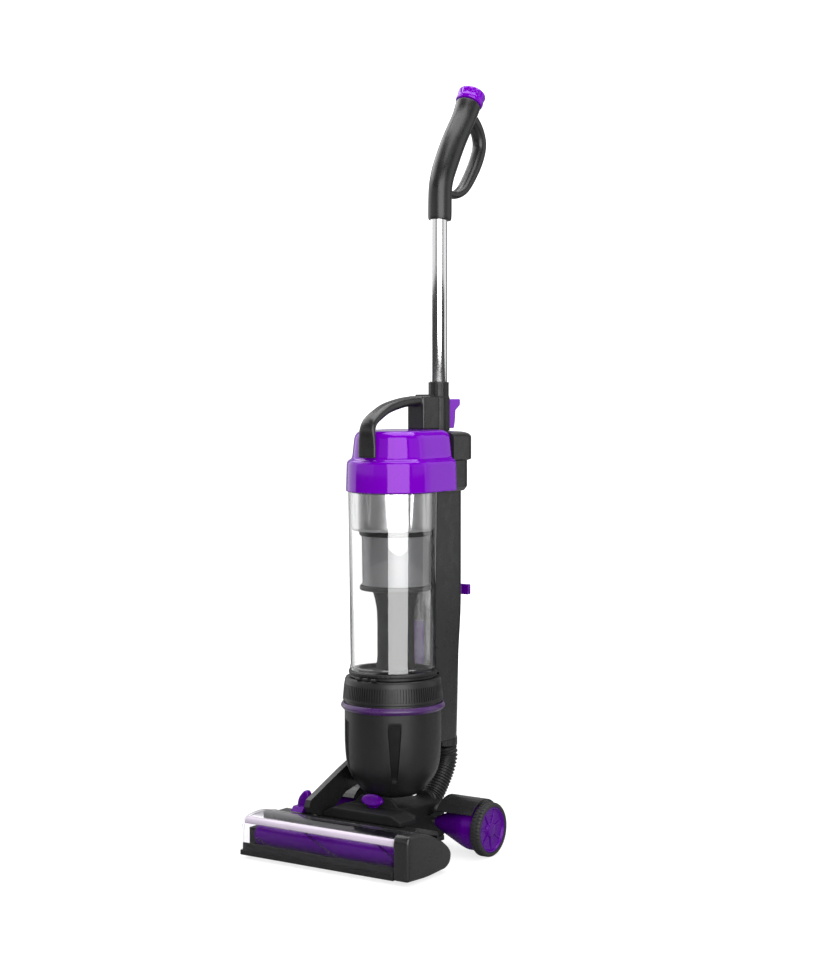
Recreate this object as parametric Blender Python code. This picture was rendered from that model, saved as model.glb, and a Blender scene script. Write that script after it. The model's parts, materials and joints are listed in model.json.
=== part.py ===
"""Bagless upright vacuum cleaner, one named object for each sub-part.

Units are metres and +Z is up. The cleaner faces -Y and stands on Z = 0. Depths below are
measured backwards from the nozzle's front edge, and at() turns a depth into a Y.
"""
import math

import bmesh
import bpy
from mathutils import Vector

# ---- frame ----------------------------------------------------------------------------
FRONT_Y = -0.20275           # Y of the nozzle's front edge
GAP = 0.0003                 # clearance between touching pieces
SEGMENTS = 32                # around the large turned pieces
ROUND = 24                   # around the wheels, tubes and inner pieces
FINE = 16                    # around shafts and small pieces
FACETS_IN_SPINE = 72         # around the hollow front of the spine

# ---- driving depths and heights ---------------------------------------------------------
BIN_DEPTH = 0.170            # axis of the bin, the lid and the motor
CYCLONE_DEPTH = 0.177        # axis of the cyclone inside the bin
WAND_DEPTH = 0.286           # axis of the wand
PIVOT_DEPTH = 0.179          # the recline axis
PIVOT_Z = 0.103
AXLE_DEPTH = 0.207           # the rear wheels' axle
AXLE_Z = 0.038
SPINE_BACK = 0.302

# ---- floor head -------------------------------------------------------------------------
HEAD_HALF = 0.143            # half width of the nozzle
CAP_X = 0.118                # where the right end cap starts
NOZZLE_DEPTH = 0.110
SOLE_LOW = 0.005
SOLE_TOP = 0.012
LIP_TOP = 0.0225             # top of the wall behind the hood's lower edge
WALL = 0.0025                # wall of the moulded covers
MOUTH_FRONT = 0.009
MOUTH_BACK = 0.052
TAIL_HALF = 0.044            # half width of the block that carries the axle
TAIL_BACK = 0.236
TAIL_TOP = 0.0645
HUMP_TOP = 0.067
CREST_TOP = 0.0815
HOOD_BACK = 0.054
DECK_TOP = 0.052
BRUSH_DEPTH = 0.031
BRUSH_Z = 0.031
BRUSH_RADIUS = 0.017
BRISTLE_RADIUS = 0.0205
BRUSH_LEFT = -0.1275
BRUSH_RIGHT = 0.1165
STRIP_TURNS = 1.0            # turns of each bristle strip along the roll
STRIP_STEPS = 30
DRIVE_DEPTH = 0.082          # axis of the brush motor
DRIVE_Z = 0.0295
DRIVE_RADIUS = 0.0155
BRUSH_PULLEY_RADIUS = 0.010
DRIVE_PULLEY_RADIUS = 0.006
BELT_X = 0.132
BELT_HALF = 0.0027
BELT_THICK = 0.0015
GLIDE_X = 0.098
GLIDE_HALF = 0.016
WHEEL_RADIUS = 0.038
RIM_RADIUS = 0.0318
TYRE_X = 0.1295
TYRE_OUT = 0.145
CONE_X = 0.051
AXLE_RADIUS = 0.004
AXLE_HALF = 0.1162
FENDER_IN = 0.0395
FENDER_OUT = 0.042
FENDER_X = 0.130
FENDER_SHOULDER = 0.072
ARM_IN = 0.0690
ARM_OUT = 0.0780
ARM_EYE = 0.0205
PIN_RADIUS = 0.009
PEDAL_DEPTH = 0.119
PEDAL_Z = 0.0780
PEDAL_HALF = 0.018
PEDAL_TILT = math.radians(30)
LATCH_X = -0.100
HOSE_PORT_X = 0.012
HOSE_PORT_Z = 0.0575
HOSE_RADIUS = 0.0165

# ---- motor, spine and bin ---------------------------------------------------------------
MOTOR_TOP = 0.2147
SLOT_DEEP = 0.0016           # depth of the tapered slots in the housing
SLOT_TURN = 37               # degrees of each slot from straight ahead
VENT_TOP = 0.2477
VENT_RADIUS = 0.0685
VENT_SLOTS = 16
ACCENT_RADIUS = 0.074
ACCENT_Z = 0.206
SPINE_HALF = 0.038
SPINE_LOW = 0.147
SPINE_TOP = 0.5065
SPINE_WALL = 0.003
HEAD_FRONT = 0.238           # front plane of the black cover behind the lid
COVER_TOP = 0.592
BIN_TOP = 0.509
BIN_LOW = 0.258
BIN_RADIUS_TOP = 0.0633
BIN_RADIUS_LOW = 0.060
BIN_WALL = 0.002
RING_LOW = 0.252
RING_RADIUS = 0.063
DOOR_LOW = 0.248
HINGE_DEPTH = 0.1045
HINGE_Z = 0.250
CATCH_HALF = 0.009
CATCH_FRONT = 0.2337
CATCH_BACK = 0.2371
CATCH_TOP = 0.320
LID_LOW = 0.510
LID_STEP = 0.555
LID_TOP = 0.596
LID_RADIUS = 0.0665
LID_BACK = 0.2375
LID_WALL = 0.0025

# ---- wand and handle --------------------------------------------------------------------
WAND_RADIUS = 0.0125
WAND_BORE = 0.0113
WAND_LOW = 0.600
WAND_TOP = 0.9245
COLLAR_TOP = 0.663
GRIP_LOW = 0.8983
GRIP_TILT = math.radians(31)
COLLAR_DEPTH = 0.3705        # centre of the twist collar at the handle's end
COLLAR_Z = 1.0810
COLLAR_HALF = 0.0100
COLLAR_RADIUS = 0.021

PALETTE = {
    "black": ((0.032, 0.032, 0.034), 0.42, 0.0),
    "satin_black": ((0.045, 0.045, 0.047), 0.30, 0.0),
    "purple": ((0.14, 0.003, 0.42), 0.20, 0.0),
    "deep_purple": ((0.08, 0.004, 0.24), 0.28, 0.0),
    "chrome": ((0.80, 0.80, 0.82), 0.10, 1.0),
    "steel": ((0.55, 0.55, 0.56), 0.30, 1.0),
    "clear": ((0.86, 0.88, 0.90), 0.05, 0.0),
    "mesh_grey": ((0.26, 0.26, 0.27), 0.45, 0.8),
    "rubber": ((0.022, 0.022, 0.023), 0.70, 0.0),
    "foam": ((0.10, 0.10, 0.11), 0.95, 0.0),
    "bristle": ((0.03, 0.02, 0.05), 0.80, 0.0),
}


# ---- helpers ----------------------------------------------------------------------------
def at(depth):
    """Y of a point this far behind the nozzle's front edge."""
    return FRONT_Y + depth


def clear_scene():
    for obj in list(bpy.data.objects):
        bpy.data.objects.remove(obj, do_unlink=True)


def material(node, kind):
    colour, roughness, metallic = PALETTE[kind]
    mat = bpy.data.materials.new(node)
    mat.use_nodes = True
    shader = mat.node_tree.nodes["Principled BSDF"]
    shader.inputs["Base Color"].default_value = (*colour, 1.0)
    shader.inputs["Roughness"].default_value = roughness
    shader.inputs["Metallic"].default_value = metallic
    return mat


def piece(name, rings, kind, loop=False):
    """Closed body skinned over rings of equal length; loop joins the last ring to the first."""
    bm = bmesh.new()
    rows = [[bm.verts.new(point) for point in ring] for ring in rings]
    count = len(rows[0])
    pairs = list(zip(rows, rows[1:]))
    if loop:
        pairs.append((rows[-1], rows[0]))
    else:
        bm.faces.new(list(reversed(rows[0])))
        bm.faces.new(rows[-1])
    for lower, upper in pairs:
        for i in range(count):
            j = (i + 1) % count
            bm.faces.new((lower[i], lower[j], upper[j], upper[i]))
    bmesh.ops.recalc_face_normals(bm, faces=bm.faces)
    mesh = bpy.data.meshes.new(name)
    bm.to_mesh(mesh)
    bm.free()
    mesh.shade_smooth()
    mesh.set_sharp_from_angle(angle=math.radians(35))
    obj = bpy.data.objects.new(name, mesh)
    bpy.context.scene.collection.objects.link(obj)
    if kind:
        mesh.materials.append(material(name, kind))
    else:
        obj.hide_render = True
        obj.display_type = "WIRE"
    return obj


def circle(radius, z, segments):
    turns = [2 * math.pi * i / segments for i in range(segments)]
    return [Vector((radius * math.cos(a), radius * math.sin(a), z)) for a in turns]


def turned(name, profile, kind, place, segments=SEGMENTS, along_x=False, hollow=False, rot=None):
    """Body turned about its own Z from (radius, height) points; along_x lays it along +X."""
    rings = [circle(radius, height, segments) for radius, height in profile]
    obj = piece(name, rings, kind, loop=hollow)
    obj.location = place
    if along_x:
        obj.rotation_euler = (0, math.pi / 2, 0)
    if rot:
        obj.rotation_euler = rot
    return obj


def tube_profile(outer, inner, low, high):
    return [(outer, low), (outer, high), (inner, high), (inner, low)]


def along_x(outline, low, high):
    """Two rings of a prism along X from (depth, height) points."""
    return [[Vector((x, at(d), z)) for d, z in outline] for x in (low, high)]


def along_y(outline, low, high):
    """Two rings of a prism along Y from (x, height) points."""
    return [[Vector((x, at(d), z)) for x, z in outline] for d in (low, high)]


def along_z(outline, low, high):
    """Two rings of a prism along Z from (x, depth) points."""
    return [[Vector((x, at(d), z)) for x, d in outline] for z in (low, high)]


def box(name, kind, xs, depths, zs):
    corners = [(xs[0], depths[0]), (xs[1], depths[0]), (xs[1], depths[1]), (xs[0], depths[1])]
    return piece(name, along_z(corners, *zs), kind)


def boolean(obj, other, operation):
    mod = obj.modifiers.new(other.name, "BOOLEAN")
    mod.object = other
    mod.operation = operation
    mod.solver = "EXACT"


def cut(obj, *cutters):
    for cutter in cutters:
        boolean(obj, cutter, "DIFFERENCE")


def fuse(obj, *others):
    for other in others:
        boolean(obj, other, "UNION")


def bevel(obj, width, segments=2, angle=40):
    mod = obj.modifiers.new("soft edges", "BEVEL")
    mod.width = width
    mod.segments = segments
    mod.limit_method = "ANGLE"
    mod.angle_limit = math.radians(angle)


def smooth_path(points, steps):
    """Catmull-Rom curve through points of any size."""
    rows = [Vector(p) for p in points]
    rows = [rows[0] * 2 - rows[1]] + rows + [rows[-1] * 2 - rows[-2]]
    path = []
    for a, b, c, d in zip(rows, rows[1:], rows[2:], rows[3:]):
        for k in range(steps):
            t = k / steps
            path.append(0.5 * (b * 2 + (c - a) * t + (a * 2 - b * 5 + c * 4 - d) * t * t
                               + (b * 3 - a - c * 3 + d) * t ** 3))
    path.append(rows[-2])
    return path


def swept(name, stations, kind, steps=3, segments=16, square=1.0):
    """Bar through (depth, height, half width, half thickness) stations in the middle plane."""
    path = smooth_path(stations, steps)
    rings = []
    last = len(path) - 1
    for i, (depth, z, half, thick) in enumerate(path):
        if i == 0:
            behind, ahead = stations[0], stations[1]
        elif i == last:
            behind, ahead = stations[-2], stations[-1]
        else:
            behind, ahead = path[i - 1], path[i + 1]
        run = Vector((ahead[0] - behind[0], ahead[1] - behind[1])).normalized()
        ring = []
        for k in range(segments):
            a = 2 * math.pi * (k + 0.5) / segments
            across = half * math.copysign(abs(math.cos(a)) ** square, math.cos(a))
            out = thick * math.copysign(abs(math.sin(a)) ** square, math.sin(a))
            ring.append(Vector((across, at(depth - run.y * out), z + run.x * out)))
        rings.append(ring)
    return piece(name, rings, kind)


def d_outline(radius, back, steps=14):
    """Half circle at the front about the bin's axis, with straight sides to a flat back."""
    points = []
    for i in range(steps + 1):
        a = math.pi + math.pi * i / steps
        points.append((radius * math.cos(a), BIN_DEPTH + radius * math.sin(a)))
    corner = 0.004
    points += [(radius, back - corner), (radius - corner, back)]
    points += [(corner - radius, back), (-radius, back - corner)]
    return points


def bar_outline(half, front, back, radius, steps=5):
    """Rectangle in plan with rounded back corners."""
    points = [(-half, front), (half, front)]
    for cx, start in ((half - radius, 0.0), (radius - half, math.pi / 2)):
        for i in range(steps + 1):
            a = start + math.pi / 2 * i / steps
            points.append((cx + radius * math.cos(a), back - radius + radius * math.sin(a)))
    return points


def in_plan(outline, z):
    return [Vector((x, at(d), z)) for x, d in outline]


# ---- floor head -------------------------------------------------------------------------
def make_sole_plate():
    tail = TAIL_HALF
    edge = CAP_X - GAP
    outline = [(-HEAD_HALF, 0.002), (edge, 0.002), (edge, NOZZLE_DEPTH), (tail, NOZZLE_DEPTH),
               (tail, TAIL_BACK), (-tail, TAIL_BACK), (-tail, NOZZLE_DEPTH), (-HEAD_HALF, NOZZLE_DEPTH)]
    sole = piece("sole_plate", along_z(outline, SOLE_LOW, SOLE_TOP), "black")
    mouth = box("cut_mouth", None, (BRUSH_LEFT - 0.001, CAP_X - 0.003), (MOUTH_FRONT, MOUTH_BACK),
                (0.0, 0.02))
    seat = box("add_bearing_seat", None, (-HEAD_HALF + 0.003, BRUSH_LEFT - 0.0015),
               (BRUSH_DEPTH - 0.012, BRUSH_DEPTH + 0.012), (SOLE_TOP - 0.002, BRUSH_Z + 0.010))
    bore = turned("cut_bearing", [(0.0046, -0.15), (0.0046, -0.120)], None,
                  (0, at(BRUSH_DEPTH), BRUSH_Z), FINE, along_x=True)
    lip = box("add_lip", None, (-0.1395, CAP_X - 0.003), (0.0036, 0.0058), (SOLE_TOP - 0.001, LIP_TOP))
    fuse(sole, seat, lip)
    cut(sole, mouth, bore)


def make_nozzle_deck():
    front = HOOD_BACK + GAP
    back = NOZZLE_DEPTH + GAP
    low = SOLE_TOP + GAP
    outer = [(front, low), (front, 0.056), (front + 0.005, 0.0585), (0.080, 0.0545),
             (0.089, DECK_TOP), (0.107, DECK_TOP), (back, DECK_TOP - 0.004), (back, low)]
    inner = [(front + WALL, 0.0), (front + WALL, 0.0545), (0.080, 0.0515), (0.089, 0.0495),
             (back - WALL, 0.046), (back - WALL, 0.0)]
    deck = piece("nozzle_deck", along_x(outer, -HEAD_HALF, CAP_X - GAP), "satin_black")
    cut(deck, piece("cut_deck", along_x(inner, WALL - HEAD_HALF, CAP_X + 0.01), None))


def make_clear_hood():
    low = SOLE_TOP + GAP
    outer = [(0.001, low), (0.001, 0.040), (0.0035, 0.0520), (0.0095, 0.0590), (0.020, 0.0620),
             (0.040, 0.0630), (HOOD_BACK, 0.0608), (HOOD_BACK, low)]
    inner = [(0.0032, 0.0), (0.0032, 0.040), (0.0056, 0.0511), (0.0107, 0.0571), (0.0205, 0.0598),
             (0.040, 0.0608), (0.0518, 0.0589), (0.0518, 0.046), (0.060, 0.046), (0.060, 0.0)]
    hood = piece("clear_hood", along_x(outer, -HEAD_HALF, CAP_X - GAP), "clear")
    cut(hood, piece("cut_hood", along_x(inner, -HEAD_HALF + 0.0022, CAP_X + 0.01), None))


def make_end_cap():
    outer = [(0.0005, 0.006), (0.0005, 0.060), (0.006, 0.0675), (0.020, 0.0672), (0.040, 0.0640),
             (0.062, 0.0570), (0.086, 0.0455), (0.100, 0.0350), (0.106, 0.0270), (0.104, 0.0140),
             (0.094, 0.0070), (0.049, 0.0040)]
    inner = [(0.0035, 0.0085), (0.0035, 0.059), (0.007, 0.0643), (0.020, 0.0641), (0.039, 0.0610),
             (0.0605, 0.0541), (0.0842, 0.0430), (0.0975, 0.0330), (0.1028, 0.0262), (0.1012, 0.0155),
             (0.0925, 0.0100), (0.049, 0.0070)]
    cap = piece("end_cap_right", along_x(outer, CAP_X, HEAD_HALF), "satin_black")
    cut(cap, piece("cut_cap", along_x(inner, CAP_X - 0.01, HEAD_HALF - WALL), None))


def make_neck_block():
    low = SOLE_TOP + GAP
    start = NOZZLE_DEPTH + 2 * GAP
    side = [(start, low), (TAIL_BACK, low), (TAIL_BACK, 0.060), (TAIL_BACK - 0.006, TAIL_TOP),
            (0.165, TAIL_TOP), (0.150, 0.069), (0.1320, 0.069), (0.1295, 0.066), (start, 0.066)]
    low_hump = [(-0.067, DECK_TOP + GAP), (0.067, DECK_TOP + GAP), (0.067, 0.0585), (0.050, HUMP_TOP),
                (-0.050, HUMP_TOP), (-0.067, 0.0585)]
    high_hump = [(-0.0665, 0.054), (0.0665, 0.054), (0.0665, 0.0625), (0.036, 0.0715), (0.026, CREST_TOP),
                 (-0.026, CREST_TOP), (-0.036, 0.0715), (-0.0665, 0.0625)]
    neck = piece("neck_block", along_x(side, -TAIL_HALF, TAIL_HALF), "satin_black")
    hump = piece("add_hump", along_y(low_hump, 0.092, 0.1305), None)
    crest = piece("add_crest", along_y(high_hump, 0.1272, 0.1312), None)
    collar = turned("add_port", [(0.0168, -0.006), (0.0168, 0.0012)], None,
                    (HOSE_PORT_X, at(TAIL_BACK), HOSE_PORT_Z), FINE, rot=(-math.pi / 2, 0, 0))
    room = box("cut_room", None, (WALL - TAIL_HALF, TAIL_HALF - WALL),
               (start + WALL, TAIL_BACK - WALL), (0.0, 0.0570))
    port = turned("cut_port", [(0.0125, -0.004), (0.0125, 0.010)], None,
                  (HOSE_PORT_X, at(TAIL_BACK), HOSE_PORT_Z), FINE, rot=(-math.pi / 2, 0, 0))
    shaft = turned("cut_axle", [(AXLE_RADIUS + GAP, -0.06), (AXLE_RADIUS + GAP, 0.06)], None,
                   (0, at(AXLE_DEPTH), AXLE_Z), FINE, along_x=True)
    fuse(neck, hump, crest, collar)
    cut(neck, room, port, shaft)


def make_glides():
    for side, sign in (("left", -1), ("right", 1)):
        centre = sign * GLIDE_X
        box("glide_" + side, "steel", (centre - GLIDE_HALF, centre + GLIDE_HALF), (0.056, 0.068),
            (0.0, SOLE_LOW - GAP))


def make_brush():
    """The roll with its shaft, two helical bristle strips and the belt pulley."""
    place = (0, at(BRUSH_DEPTH), BRUSH_Z)
    profile = [(0.004, BRUSH_LEFT - 0.009), (0.004, BRUSH_LEFT), (BRUSH_RADIUS, BRUSH_LEFT),
               (BRUSH_RADIUS, BRUSH_RIGHT), (0.004, BRUSH_RIGHT), (0.004, 0.1375)]
    turned("brush_roll", profile, "deep_purple", place, ROUND, along_x=True)
    low = BRUSH_RADIUS + 2 * GAP
    for number, start in ((1, 0.0), (2, math.pi)):
        rings = []
        for i in range(STRIP_STEPS + 1):
            share = i / STRIP_STEPS
            x = BRUSH_LEFT + 0.003 + share * (BRUSH_RIGHT - BRUSH_LEFT - 0.006)
            turn = start + 2 * math.pi * STRIP_TURNS * share
            ring = []
            for radius, side in ((low, -0.08), (low, 0.08), (BRISTLE_RADIUS, 0.06),
                                 (BRISTLE_RADIUS, -0.06)):
                a = turn + side
                ring.append(Vector((x, place[1] + radius * math.cos(a), BRUSH_Z + radius * math.sin(a))))
            rings.append(ring)
        piece(f"bristle_strip_{number}", rings, "bristle")
    pulley = tube_profile(BRUSH_PULLEY_RADIUS, 0.004 + GAP, BELT_X - 0.0035, BELT_X + 0.0035)
    turned("brush_pulley", pulley, "steel", place, FINE, along_x=True, hollow=True)


def make_brush_drive():
    """Small motor beside the brush, its pulley and the flat belt."""
    place = (0, at(DRIVE_DEPTH), DRIVE_Z)
    can = [(0.006, 0.018), (DRIVE_RADIUS - 0.001, 0.018), (DRIVE_RADIUS, 0.020),
           (DRIVE_RADIUS, 0.110), (0.006, 0.110), (0.006, 0.1125)]
    turned("brush_motor", can, "steel", place, FINE, along_x=True)
    pulley = [(0.0025, 0.1130), (0.0025, BELT_X - 0.0035), (DRIVE_PULLEY_RADIUS, BELT_X - 0.0035),
              (DRIVE_PULLEY_RADIUS, BELT_X + 0.0035), (0.0025, BELT_X + 0.0035), (0.0025, 0.1375)]
    turned("motor_pulley", pulley, "steel", place, FINE, along_x=True)
    rings = []
    for x, swell in ((-BELT_HALF, BELT_THICK), (BELT_HALF, BELT_THICK), (BELT_HALF, 0), (-BELT_HALF, 0)):
        rings.append([Vector((BELT_X + x, at(d), z)) for d, z in belt_outline(swell + GAP)])
    piece("drive_belt", rings, "rubber", loop=True)


def belt_outline(swell, steps=8):
    """Closed loop round both pulleys, this far outside their faces."""
    span = Vector((DRIVE_DEPTH - BRUSH_DEPTH, DRIVE_Z - BRUSH_Z))
    slope = math.atan2(span.y, span.x)
    lean = math.acos((BRUSH_PULLEY_RADIUS - DRIVE_PULLEY_RADIUS) / span.length)
    points = []
    for depth, z, radius, start, sweep in (
            (BRUSH_DEPTH, BRUSH_Z, BRUSH_PULLEY_RADIUS, slope + lean, 2 * (math.pi - lean)),
            (DRIVE_DEPTH, DRIVE_Z, DRIVE_PULLEY_RADIUS, slope - lean, 2 * lean)):
        for i in range(steps + 1):
            a = start + sweep * i / steps
            points.append((depth + (radius + swell) * math.cos(a), z + (radius + swell) * math.sin(a)))
    return points


def make_wheels():
    """Fixed axle, two turned wheels with their cones, and a tyre on each."""
    turned("axle", [(AXLE_RADIUS, -AXLE_HALF), (AXLE_RADIUS, AXLE_HALF)], "steel",
           (0, at(AXLE_DEPTH), AXLE_Z), FINE, along_x=True)
    wheel = [(AXLE_RADIUS + GAP, AXLE_HALF + GAP), (AXLE_RADIUS + GAP, CONE_X), (0.008, CONE_X),
             (0.0295, 0.104), (RIM_RADIUS, 0.110), (RIM_RADIUS, 0.1440), (0.029, 0.1440),
             (0.0275, 0.1415), (0.011, 0.1405), (0.009, 0.1425)]
    tyre = [(RIM_RADIUS + GAP, TYRE_X), (0.0358, TYRE_X), (WHEEL_RADIUS, TYRE_X + 0.0030),
            (WHEEL_RADIUS, TYRE_OUT - 0.0030), (0.0358, TYRE_OUT), (RIM_RADIUS + GAP, TYRE_OUT)]
    for side, sign in (("left", -1), ("right", 1)):
        place = (0, at(AXLE_DEPTH), AXLE_Z)
        turned("wheel_" + side, [(r, sign * x) for r, x in wheel], "deep_purple", place, ROUND,
               along_x=True)
        turned("tyre_" + side, [(r, sign * x) for r, x in tyre], "rubber", place, ROUND,
               along_x=True, hollow=True)


def make_fenders():
    """Half shells over the wheels, narrowing to the block in the middle."""
    stations = ((TAIL_HALF + GAP, 0.0160, 0.0185), (FENDER_SHOULDER, FENDER_IN, FENDER_OUT),
                (FENDER_X, FENDER_IN, FENDER_OUT))
    arc = [math.radians(36 + 108 * i / 12) for i in range(13)]
    for side, sign in (("left", -1), ("right", 1)):
        rings = []
        for x, inner, outer in stations:
            band = [(outer, a) for a in arc] + [(inner, a) for a in reversed(arc)]
            rings.append([Vector((sign * x, at(AXLE_DEPTH) + r * math.cos(a), AXLE_Z + r * math.sin(a)))
                          for r, a in band])
        piece("fender_" + side, rings, "satin_black")


def arm_outline():
    """Side view of the yoke arm: a round eye and a straight bar down to the deck."""
    points = [(0.187, 0.0842), (0.150, 0.0765), (0.130, 0.0630), (0.1065, DECK_TOP + GAP),
              (0.0920, DECK_TOP + GAP), (0.0820, 0.0560), (0.0690, 0.0600), (0.0640, 0.0690),
              (0.0680, 0.0785), (0.1057, 0.0950), (0.1413, 0.1103)]
    for i in range(13):
        a = math.radians(113 - 180 * i / 12)
        points.append((PIVOT_DEPTH + ARM_EYE * math.cos(a), PIVOT_Z + ARM_EYE * math.sin(a)))
    return points


def make_yoke_arm():
    arm = piece("yoke_arm_left", along_x(arm_outline(), -ARM_IN, -ARM_OUT), "satin_black")
    bore = turned("cut_eye", [(PIN_RADIUS + GAP, -0.10), (PIN_RADIUS + GAP, 0.10)], None,
                  (0, at(PIVOT_DEPTH), PIVOT_Z), FINE, along_x=True)
    cut(arm, bore)


def make_recline_pedal():
    rings = []
    for lift, shrink in ((-0.0025, 1.0), (0.0010, 1.0), (0.0025, 0.86)):
        ring = []
        for i in range(FINE):
            a = 2 * math.pi * i / FINE
            up = 0.0088 * shrink * math.sin(a)
            depth = PEDAL_DEPTH + up * math.sin(PEDAL_TILT) - lift * math.cos(PEDAL_TILT)
            z = PEDAL_Z + up * math.cos(PEDAL_TILT) + lift * math.sin(PEDAL_TILT)
            ring.append(Vector((PEDAL_HALF * shrink * math.cos(a), at(depth), z)))
        rings.append(ring)
    pedal = piece("recline_pedal", rings, "deep_purple")
    stem = box("add_stem", None, (-0.007, 0.007), (PEDAL_DEPTH - 0.001, PEDAL_DEPTH + 0.006),
               (HUMP_TOP + GAP, PEDAL_Z))
    fuse(pedal, stem)


def make_hood_latch():
    outline = [(0.073, 0.0573), (0.104, DECK_TOP + GAP), (0.104, 0.062), (0.097, 0.080), (0.089, 0.0855),
               (0.087, 0.079), (0.076, 0.066)]
    latch = piece("hood_latch", along_x(outline, LATCH_X - 0.011, LATCH_X + 0.011), "purple")
    bevel(latch, 0.002)


def make_lower_hose():
    route = [(0.016, 0.279, 0.1335), (0.0165, 0.2825, 0.121), (0.016, 0.2800, 0.106),
             (0.015, 0.2710, 0.090), (0.014, 0.2610, 0.0760), (0.013, 0.2525, 0.0655),
             (0.0122, 0.2445, 0.0592), (HOSE_PORT_X, TAIL_BACK + 0.0015, HOSE_PORT_Z)]
    path = smooth_path(route, 2)
    rings = []
    for i, centre in enumerate(path):
        run = (path[min(i + 1, len(path) - 1)] - path[max(i - 1, 0)]).normalized()
        if i == 0:
            run = Vector((0, 0, -1))
        if i == len(path) - 1:
            run = Vector((0, -1, 0))
        side = Vector((1, 0, 0)) - run * run.x
        side.normalize()
        up = run.cross(side)
        ring = []
        for k in range(FINE):
            a = 2 * math.pi * k / FINE
            point = centre + (side * math.cos(a) + up * math.sin(a)) * HOSE_RADIUS
            ring.append(Vector((point.x, at(point.y), point.z)))
        rings.append(ring)
    piece("lower_hose", rings, "rubber")
    cuff = tube_profile(0.0185, 0.0135, 0.1338, SPINE_LOW - GAP)
    turned("hose_cuff", cuff, "black", (0.016, at(0.279), 0), FINE, hollow=True)


# ---- motor ------------------------------------------------------------------------------
def make_motor_housing():
    outer = [(0.020, 0.0765), (0.040, 0.083), (0.055, 0.100), (0.0630, 0.114), (0.0667, 0.130),
             (0.0687, 0.163), (0.0687, MOTOR_TOP)]
    inner = [(0.050, MOTOR_TOP), (0.050, 0.2117), (0.0643, 0.2085), (0.0643, 0.163), (0.0628, 0.131),
             (0.0592, 0.1155), (0.052, 0.1025), (0.038, 0.0865), (0.018, 0.0800)]
    place = (0, at(BIN_DEPTH), 0)
    housing = turned("motor_housing", outer + inner, "black", place)
    boss = turned("add_boss", [(0.015, -0.052), (0.015, 0.0005 - ARM_IN)], None,
                  (0, at(PIVOT_DEPTH), PIVOT_Z), FINE, along_x=True)
    fuse(housing, boss)
    for side, sign in (("left", -1), ("right", 1)):
        turn = math.radians(-90 + sign * SLOT_TURN)
        slot = piece("cut_slot_" + side, slot_rings(), None)
        slot.location = place
        slot.rotation_euler = (0, 0, turn)
        cut(housing, slot)


def slot_rings():
    """Tapered upright wedge that leaves a shallow slot in the housing's wall."""
    rings = []
    for z, skin, half in ((0.108, 0.0596, 0.0048), (0.114, 0.0630, 0.0052), (0.130, 0.0667, 0.0060),
                          (0.163, 0.0687, 0.0078), (0.178, 0.0687, 0.0086)):
        bed = skin - SLOT_DEEP
        rings.append([Vector((bed, -half, z)), Vector((0.075, -half, z)), Vector((0.075, half, z)),
                      Vector((bed, half, z))])
    return rings


def make_motor_trim():
    place = (0, at(BIN_DEPTH), 0)
    band = [(0.0687 + GAP, ACCENT_Z - 0.006), (0.0708, ACCENT_Z - 0.006), (ACCENT_RADIUS, ACCENT_Z - 0.0015),
            (ACCENT_RADIUS, ACCENT_Z + 0.0015), (0.0715, ACCENT_Z + 0.006), (0.0687 + GAP, ACCENT_Z + 0.006)]
    turned("accent_ring", band, "purple", place, hollow=True)
    grille = [(0.0605, MOTOR_TOP + GAP), (0.0712, MOTOR_TOP + GAP), (0.0705, 0.2250),
              (VENT_RADIUS, 0.2440), (0.0665, VENT_TOP), (0.0605, VENT_TOP)]
    vent = turned("vent_ring", grille, "black", place, hollow=True)
    for i in range(VENT_SLOTS):
        blade = box(f"cut_vent_{i}", None, (0.055, 0.075), (-0.003 - FRONT_Y, 0.003 - FRONT_Y),
                    (0.2205, 0.2420))
        blade.location = place
        blade.rotation_euler = (0, 0, 2 * math.pi * (i + 0.5) / VENT_SLOTS)
        cut(vent, blade)
    place = (0, at(PIVOT_DEPTH), PIVOT_Z)
    pin = [(PIN_RADIUS, 0.0002 - ARM_IN), (PIN_RADIUS, -0.0790), (0.0070, -0.0802)]
    turned("pivot_pin_left", pin, "steel", place, FINE, along_x=True)


def make_motor_inside():
    place = (0, at(BIN_DEPTH), 0)
    can = [(0.030, 0.0975), (0.037, 0.100), (0.040, 0.108), (0.040, 0.170), (0.012, 0.172)]
    turned("fan_motor", can, "steel", place, ROUND)
    fan = [(0.004, 0.1723), (0.004, 0.176), (0.040, 0.176), (0.040, 0.190), (0.014, 0.194),
           (0.010, 0.200)]
    turned("impeller", fan, "steel", place, ROUND)
    turned("exhaust_filter", tube_profile(0.060, 0.045, 0.125, 0.165), "foam", place, ROUND, hollow=True)
    turned("pre_motor_filter", [(0.058, MOTOR_TOP + GAP), (0.058, 0.243)], "foam", place, ROUND)


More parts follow.
